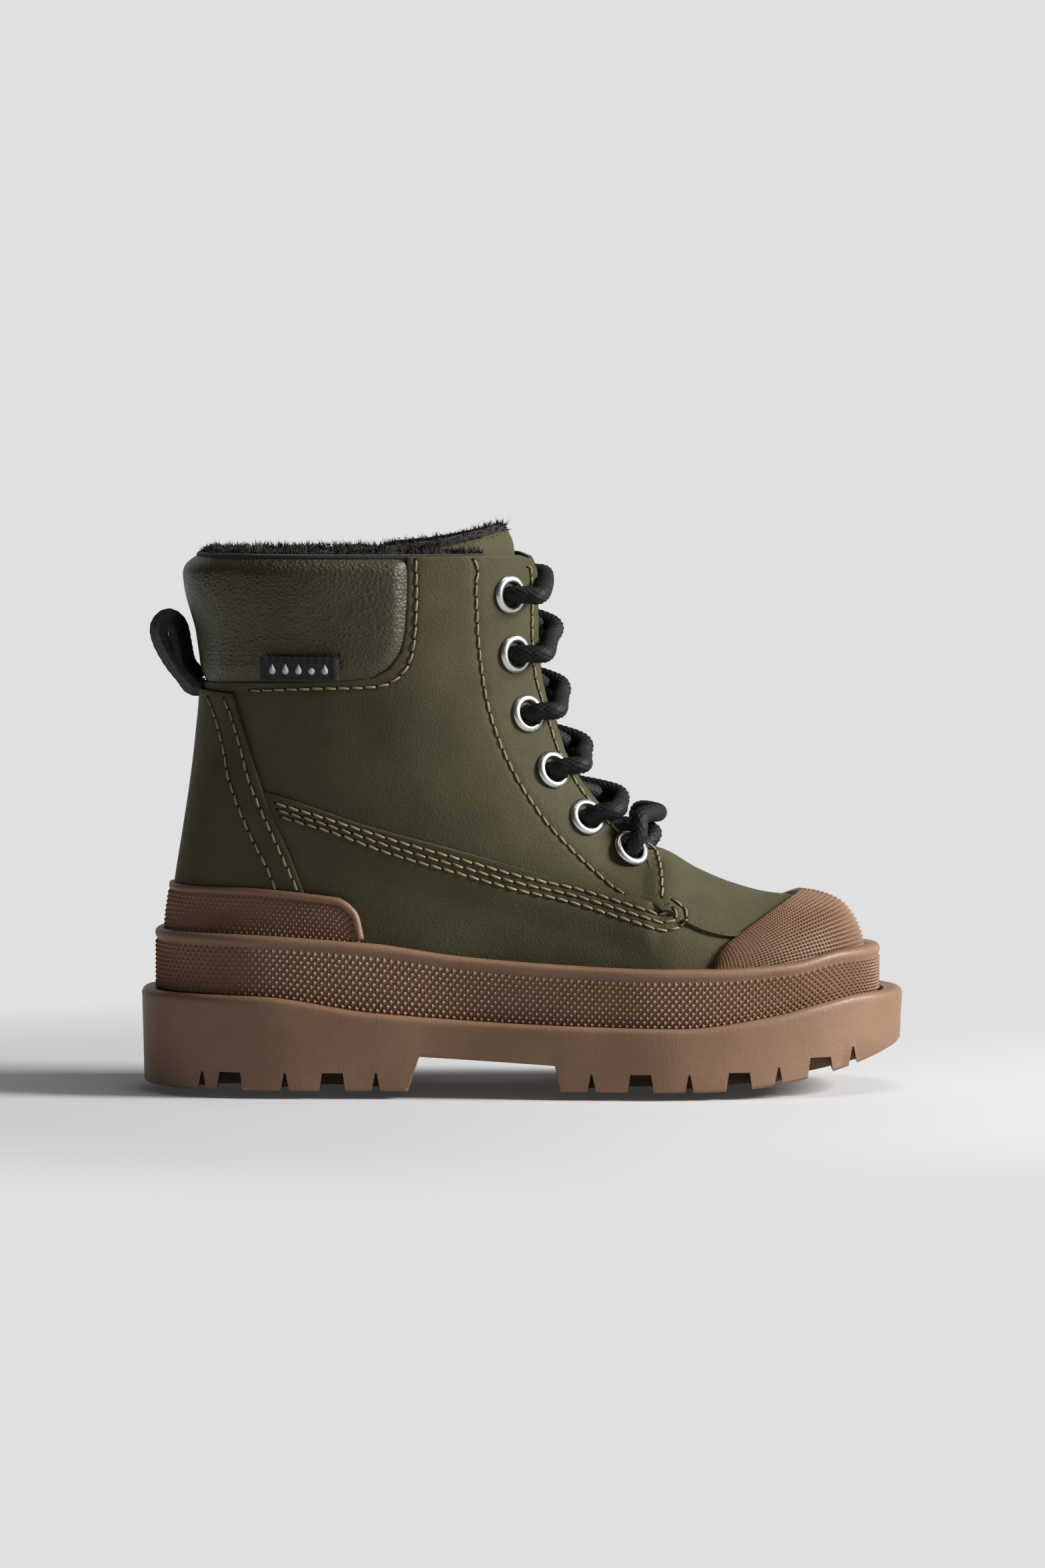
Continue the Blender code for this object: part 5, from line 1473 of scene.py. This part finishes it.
def make_gusset(word, side):
    """The bellows between the tongue's edge and the quarter, folded once."""
    heights = np.linspace(72, 108, 30)
    rows = []
    for height in heights:
        row = []
        for share in np.linspace(0, 1, 9):
            y = tongue_half(height) + 4.1 - 3.6 * share
            depth = 8.4 + 1.5 * share + 0.5 * math.sin(share * math.pi * 2)
            x = float(front_x(np.array(height), y, -depth))
            row.append((x, float(centre_y(x)) + side * y, height))
        rows.append(row)
    points = np.array(rows)
    normal = normals_of(points, (-40, 0, 90))
    made = shell("gusset_" + word + "_cloth", points, normal, 0.0, 0.6, fabric)
    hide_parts("gusset_" + word)
    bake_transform(made)


def make_footbed():
    """The loose pile-covered footbed."""
    rings = []
    back, front = UPPER_BACK + FOOTBED_INSET, UPPER_FRONT - FOOTBED_INSET
    for inset, rise in ((0.7, 0.0), (0.1, 0.5), (0.0, 1.6), (0.3, 2.6), (1.2, 3.2), (2.6, 3.4)):
        def half(x, inset=inset):
            return plan_half(x, back + inset, front - inset, -FOOTBED_INSET - inset)

        def height(x, rise=rise):
            return inner_z(x) + FOOTBED_BOTTOM + rise

        rings.append(sole_ring(back + inset, front - inset, half, height, 120))
    bed = stacked("footbed_pad", rings, pile, 60)
    shown(bed, "footbed_body", "dark_pile", "footbed")
    rng = np.random.default_rng(41)
    count = 6000
    x = rng.uniform(back + 4, front - 4, count)
    half = plan_half(x, back, front, -FOOTBED_INSET) - 2.0
    y = centre_y(x) + half * rng.uniform(-1, 1, count)
    where = np.stack([x, y, inner_z(x) + FOOTBED_BOTTOM + FOOTBED_THICK - 0.1], -1)
    normals = np.tile([0, 0, 1.0], (count, 1))
    shown(tufts("footbed_fibres", where, normals, 1.5, (0.2, 0, 0), 42), "footbed_body", "dark_pile")


# ---------------------------------------------------------------- lacing


def eyelet_seat(x, z, side):
    """The plane that an eyelet lies on: the middle of its flange and the outward normal."""
    reach = EYELET_OUTER / 2 - 1.0
    here = on_upper(x, z, side)
    across = on_upper(x + reach * 0.8, z, side) - on_upper(x - reach * 0.8, z, side)
    up = on_upper(x, z + reach, side) - on_upper(x, z - reach, side)
    normal = across.cross(up).normalized()
    if normal.y * side < 0:
        normal = -normal
    lift = 0.0
    for turn in np.linspace(0, 2 * math.pi, 13):
        rim = on_upper(x + reach * 0.8 * math.cos(turn), z + reach * math.sin(turn), side)
        lift = max(lift, (rim - here).dot(normal))
    return here + normal * 1.8 * lift, normal, across.normalized()


def lace_station(level, side):
    x, z = EYELETS[level]
    return eyelet_seat(x, z, side)


def lace_out(level, side):
    """From under the quarter, out through an eyelet and over the front edge."""
    here, normal, forward = lace_station(level, side)
    return [
        here - normal * LACE_UNDER + forward * 0.9,
        here - normal * 2.6,
        here + normal * 1.2 + forward * 0.1,
        here + normal * 4.2 + forward * 2.2,
        here + normal * 5.7 + forward * 6.5,
    ]


def crossing(level, side, high):
    """Over the tongue from one side's eyelet and under the other side to its next one up."""
    from_z, to_z = EYELETS[level][1], EYELETS[level - 1][1]
    points = []
    for share, y, out in ((0.2, 8.0, 0.4), (0.44, 0.0, 0.6 if high else -4.4), (0.64, -8.6, -6.9)):
        z = from_z + (to_z - from_z) * share
        x = float(front_x(np.array(z), y, out))
        points.append(Vector((x, float(centre_y(x)) + side * y, z)))
    here, normal, forward = lace_station(level - 1, -side)
    up = normal.cross(forward)
    if up.z < 0:
        up = -up
    points.append(here - normal * LACE_UNDER + forward * 4.6 - up * 4.4)
    return points


def lace_route():
    """One cord: a bar across the lowest eyelets, then both ends crossing up to the highest."""
    lowest = len(EYELETS) - 1

    def half(side):
        here, normal, forward = lace_station(lowest, side)
        up = normal.cross(forward) * -side
        run = [
            here + normal * 5.3 + forward * 3.4 + up * 7.4,
            here + normal * 4.3 + forward * 0.9 + up * 2.4,
            here + normal * 0.6,
            here - normal * 2.8,
            here - normal * LACE_UNDER + forward * 1.0,
        ]
        run += crossing(lowest, side, side < 0)[1:]
        at = -side
        for level in range(lowest - 1, -1, -1):
            run += lace_out(level, at)
            if level:
                run += crossing(level, at, at < 0)
                at = -at
        top = EYELETS[0][1] + 4.5
        for y, depth, rise in TUCKED_END:
            x = float(front_x(np.array(top + rise), y, -depth))
            run.append(Vector((x, float(centre_y(x)) + at * y, top + rise)))
        return run

    bar_z = EYELETS[lowest][1] + BAR_RISE
    bar_x = float(front_x(np.array(bar_z), 0.0, 5.6))
    bar = [Vector((bar_x, float(centre_y(bar_x)), bar_z))]
    return list(reversed(half(-1))) + bar + half(1)


def smooth_route(points, spacing):
    """Even points along a smooth curve through these points."""
    run = []
    for i in range(len(points) - 1):
        before, here = points[max(i - 1, 0)], points[i]
        there, after = points[i + 1], points[min(i + 2, len(points) - 1)]
        for s in range(12):
            t = s / 12
            pull_in, pull_out = (there - before) / 2, (after - here) / 2
            place = here * (2 * t**3 - 3 * t**2 + 1) + there * (3 * t**2 - 2 * t**3)
            run.append(place + pull_in * (t**3 - 2 * t**2 + t) + pull_out * (t**3 - t**2))
    run.append(points[-1])
    far = [0.0]
    for a, b in zip(run, run[1:]):
        far.append(far[-1] + (b - a).length)
    count = max(2, round(far[-1] / spacing))
    even = []
    for i in range(count + 1):
        at = far[-1] * i / count
        j = min(int(np.searchsorted(far, at)), len(run) - 1)
        share = (at - far[j - 1]) / max(far[j] - far[j - 1], 1e-9) if j else 0.0
        even.append(run[j - 1].lerp(run[j], share) if j else run[0])
    return even


def make_eyelets():
    """Rolled rings of polished steel."""
    outer, hole = EYELET_OUTER / 2, EYELET_HOLE / 2
    face = [(hole, -1.6), (hole, 0.6), (hole + 0.12, 0.92), (hole + 0.4, 1.12), (hole + 0.9, 1.14),
            (hole + 1.45, 1.0), (outer - 0.22, 0.72), (outer, 0.32), (outer, 0.02), (outer - 0.2, -0.15),
            (hole + 0.9, -0.2), (hole + 0.5, -0.5), (hole + 0.45, -4.6), (outer - 1.4, -4.75),
            (outer - 1.2, -5.0), (hole + 0.4, -5.15), (hole, -4.9)]
    profile = np.array(face)
    steps = 56
    turn = np.linspace(0, 2 * math.pi, steps, endpoint=False)
    ring = np.stack([profile[None, :, 0] * np.cos(turn)[:, None], profile[None, :, 0] * np.sin(turn)[:, None],
                     np.broadcast_to(profile[:, 1], (steps, len(profile)))], -1)
    n = len(profile)
    faces = [(i * n + j, ((i + 1) % steps) * n + j, ((i + 1) % steps) * n + (j + 1) % n, i * n + (j + 1) % n)
             for i in range(steps) for j in range(n)]
    for word, side in (("lateral", -1), ("medial", 1)):
        for number, (x, z) in enumerate(EYELETS, 1):
            here, normal, _ = eyelet_seat(x, z, side)
            turned = np.array(normal.to_track_quat("Z", "Y").to_matrix())
            points = ring.reshape(-1, 3) @ turned.T + np.array(here)
            made = face_out(mesh_object(f"eyelet_{word}_{number}_ring", points, faces, steel))
            shown(made, "root", "polished_steel", f"eyelet_{word}_{number}")


LACE_THICK = 5.0


def make_lace():
    """A round braided cord along its real route through the eyelets."""
    route = np.array([tuple(p) for p in smooth_route(lace_route(), 0.4)])
    far = lengths(route)
    sides, strands, lay = 48, 5, 3.6
    turn = np.linspace(0, 2 * math.pi, sides, endpoint=False)[None]
    slope = 2 * math.pi * far[:, None] / lay
    over = np.abs(np.sin(strands * turn + slope) * np.sin(strands * turn - slope))
    radius = LACE_THICK / 2 - 0.38 + 0.45 * np.sqrt(over)
    points, faces = tube_block(route, radius, sides)
    made = face_out(mesh_object("lace_braid", points, faces, braid))
    return shown(made, "root", "lace_cord", "lace")


# ---------------------------------------------------------------- loop and label

LOOP_THICK, LOOP_HALF = 1.8, 5.5
LOOP_ROUTE = ((-94.3, 112.6), (-96.6, 115.4), (-100.2, 120.0), (-103.2, 125.6), (-103.7, 129.6),
              (-101.3, 131.8), (-98.6, 129.8), (-97.4, 124.6), (-96.6, 120.4), (-95.3, 117.6))
LABEL_WIDE, LABEL_TALL = 22.8, 7.2
LABEL_X, LABEL_Z, LABEL_STAND = -62.1, 119.2, 3.4  # its middle, and how far it stands off the upper

LOOP_TWIST = 17.0  # the tape's face is turned this far to the outer side, in degrees


def make_heel_loop():
    """A folded webbing loop with selvedge ribs."""
    line = rounded(((-90.5, 112.4),) + LOOP_ROUTE + ((-92.0, 114.4),), 8)
    ahead = np.gradient(line, axis=0)
    ahead /= np.linalg.norm(ahead, axis=1, keepdims=True)
    across = np.stack([-ahead[:, 1], ahead[:, 0]], -1)
    shares = np.linspace(-1, 1, 23)
    rib = 0.10 * np.cos(shares * math.pi * 7) + 0.16 * (np.abs(shares) > 0.86)
    rings = []
    middle = centre_y(line[:, 0])
    twist = math.radians(LOOP_TWIST)
    half = LOOP_THICK / 2 + 0.3
    for i in range(len(line)):
        weave = 0.07 * math.sin(i * 2.1)
        out = np.array([across[i, 0], 0.0, across[i, 1]])
        wide = np.array([out[0] * math.sin(twist), math.cos(twist), out[2] * math.sin(twist)])
        thick = np.array([out[0] * math.cos(twist), -math.sin(twist), out[2] * math.cos(twist)])
        place = np.array([line[i, 0], middle[i], line[i, 1]])
        front = [place + wide * y * LOOP_HALF + thick * (half + r + weave) for y, r in zip(shares, rib)]
        back = [place + wide * y * LOOP_HALF - thick * (half + r - weave)
                for y, r in zip(shares[::-1], rib[::-1])]
        rings.append(front + back)
    points = np.array(rings)
    rows, columns = points.shape[:2]
    faces = [tuple(f) for f in quads(rows, columns, closed=True)]
    faces += [tuple(range(columns - 1, -1, -1)), tuple(range((rows - 1) * columns, rows * columns))]
    made = face_out(mesh_object("heel_pull_loop", points.reshape(-1, 3), faces, webbing))
    shown(made, "heel_loop_body", "black_webbing", "heel_loop")


def make_label():
    """A folded woven label with a row of plain drops."""
    here, normal, forward = upper_frame(LABEL_X, LABEL_Z, -1)
    up = normal.cross(forward)
    middle = here + normal * LABEL_STAND
    rows, columns = 15, 45
    u = np.linspace(-1, 1, columns)[None]
    v = np.linspace(-1, 1, rows)[:, None]
    wide, tall = LABEL_WIDE / 2 - 0.1, LABEL_TALL / 2 - 0.1
    bow = 0.18 * (1 - u**2) + 0.12 * np.sin(3 * u) * (v > 0) + 0 * v
    base = (np.array(middle) + wide * u[..., None] * np.array(forward) + tall * v[..., None] * np.array(up))
    away = np.broadcast_to(np.array(normal), base.shape)
    made = shell("woven_label", base, away, bow + 0.42, 0.8, webbing)
    shown(made, "label_body", "black_webbing", "label")
    blocks = []
    for k in range(5):
        centre = np.array(middle + forward * (-7.6 + 3.8 * k) + normal * 0.62)
        turn = np.linspace(0, 2 * math.pi, 17)[:-1]
        pull = np.clip(np.sin(turn), 0, 1) ** 3
        edge = np.stack([0.95 * np.cos(turn) * (1 - 0.75 * pull), 1.05 * np.sin(turn) + 0.95 * pull], -1)
        rim = centre + edge[:, :1] * np.array(forward) + (edge[:, 1:] - 0.35) * np.array(up)
        top = centre + np.array(normal) * 0.12 - 0.35 * np.array(up)
        under = centre - np.array(normal) * 0.3 - 0.35 * np.array(up)
        points = np.concatenate([rim, [top], [under]])
        faces = [(i, (i + 1) % 16, 16) for i in range(16)] + [((i + 1) % 16, i, 17) for i in range(16)]
        blocks.append((points, faces))
    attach(face_out(join_meshes("label_drops", blocks, print_white)), "label_body")


# ---------------------------------------------------------------- studio


FLOOR_GLOW, FLOOR_SHADE, PLAIN_GLOW = 0.03, 0.60, 0.745


def studio_floor_material():
    """Pale paint that takes the boot's shadow nearby and is evenly lit farther off."""
    made = bpy.data.materials.new("studio_floor")
    made.use_nodes = True
    nodes, links = made.node_tree.nodes, made.node_tree.links
    paint = nodes["Principled BSDF"]
    paint.inputs["Base Color"].default_value = (FLOOR_SHADE, FLOOR_SHADE, FLOOR_SHADE, 1)
    paint.inputs["Roughness"].default_value = 0.9
    paint.inputs["Specular IOR Level"].default_value = 0.0
    paint.inputs["Emission Color"].default_value = (1, 1, 1, 1)
    paint.inputs["Emission Strength"].default_value = FLOOR_GLOW
    plain = nodes.new("ShaderNodeEmission")
    plain.inputs["Color"].default_value = (PLAIN_GLOW, PLAIN_GLOW, PLAIN_GLOW, 1)
    where = nodes.new("ShaderNodeTexCoord")
    away = nodes.new("ShaderNodeVectorMath")
    away.operation = "LENGTH"
    links.new(where.outputs["Object"], away.inputs[0])
    fade = nodes.new("ShaderNodeMapRange")
    fade.interpolation_type = "SMOOTHSTEP"
    fade.inputs["From Min"].default_value = 0.16
    fade.inputs["From Max"].default_value = 0.34
    links.new(away.outputs["Value"], fade.inputs["Value"])
    mix = nodes.new("ShaderNodeMixShader")
    links.new(fade.outputs["Result"], mix.inputs["Fac"])
    links.new(paint.outputs["BSDF"], mix.inputs[1])
    links.new(plain.outputs["Emission"], mix.inputs[2])
    links.new(mix.outputs["Shader"], nodes["Material Output"].inputs["Surface"])
    return made


def make_studio():
    """A pale seamless floor, soft light from above and in front, and the camera."""
    world = bpy.data.worlds.new("studio")
    bpy.context.scene.world = world
    world.use_nodes = True
    world.node_tree.nodes["Background"].inputs["Color"].default_value = (1, 1, 1, 1)
    world.node_tree.nodes["Background"].inputs["Strength"].default_value = 0.02
    depth = [(-1.0, 0.0), (1.2, 0.0), (1.5, 0.04), (1.75, 0.16), (1.9, 0.36), (1.95, 0.7), (1.95, 1.5)]
    line = rounded(depth, 8)
    points = [(x * 1000, y * 1000, z * 1000) for x in (-1.6, 1.6) for y, z in line]
    n = len(line)
    floor = mesh_object("studio_sweep", points, [(i, n + i, n + i + 1, i + 1) for i in range(n - 1)],
                        studio_floor_material())
    for name, place, target, power, size in (
        ("key", (1.42, -0.30, 0.74), (0.02, 0, 0.07), 50.0, 0.5),
        ("top", (0.25, -0.15, 1.5), (0.0, 0, 0.07), 5.0, 0.7),
        ("fill", (0.5, -2.2, 0.9), (0.0, 0, 0.07), 1.5, 1.0),
    ):
        lamp = bpy.data.lights.new(name, "AREA")
        lamp.energy = power
        lamp.size = size
        obj = bpy.data.objects.new(name, lamp)
        bpy.context.scene.collection.objects.link(obj)
        obj.location = place
        obj.rotation_mode = "QUATERNION"
        obj.rotation_quaternion = (Vector(target) - Vector(place)).to_track_quat("-Z", "Y")
    data = bpy.data.cameras.new("camera")
    data.lens = 185.0
    data.sensor_width = 36.0
    camera = bpy.data.objects.new("camera", data)
    bpy.context.scene.collection.objects.link(camera)
    eye, aim = Vector((0.0, -2.3, 0.2146)), Vector((0.0, 0.0, 0.0845))
    camera.location = eye
    camera.rotation_mode = "QUATERNION"
    camera.rotation_quaternion = (aim - eye).to_track_quat("-Z", "Y")
    data.clip_start, data.clip_end = 0.05, 50.0
    bpy.context.scene.camera = camera
    bpy.context.scene.view_settings.view_transform = "Standard"


HIDDEN = {
    "midsole_core": foam, "bottom_filler": foam, "insulation": foam, "shank": steel, "insole_board": board,
    "heel_counter": board, "toe_puff": board, "waterproof_membrane": fabric,
    "eyestay_reinforcement_lateral": fabric, "eyestay_reinforcement_medial": fabric,
}

make_studio()
make_outsole()
make_midsole()
make_midsole_texture()
make_heel_rand()
make_toe_cap()
for word, at_side in (("lateral", -1), ("medial", 1)):
    make_quarter(word, at_side)
    make_gusset(word, at_side)
make_vamp()
make_backstay()
make_collar()
make_tongue()
make_lining()
make_rim()
make_tongue_pile()
make_footbed()
make_eyelets()
make_lace()
make_heel_loop()
make_label()
for node, look in HIDDEN.items():
    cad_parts[node].data.materials.clear()
    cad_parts[node].data.materials.append(look)
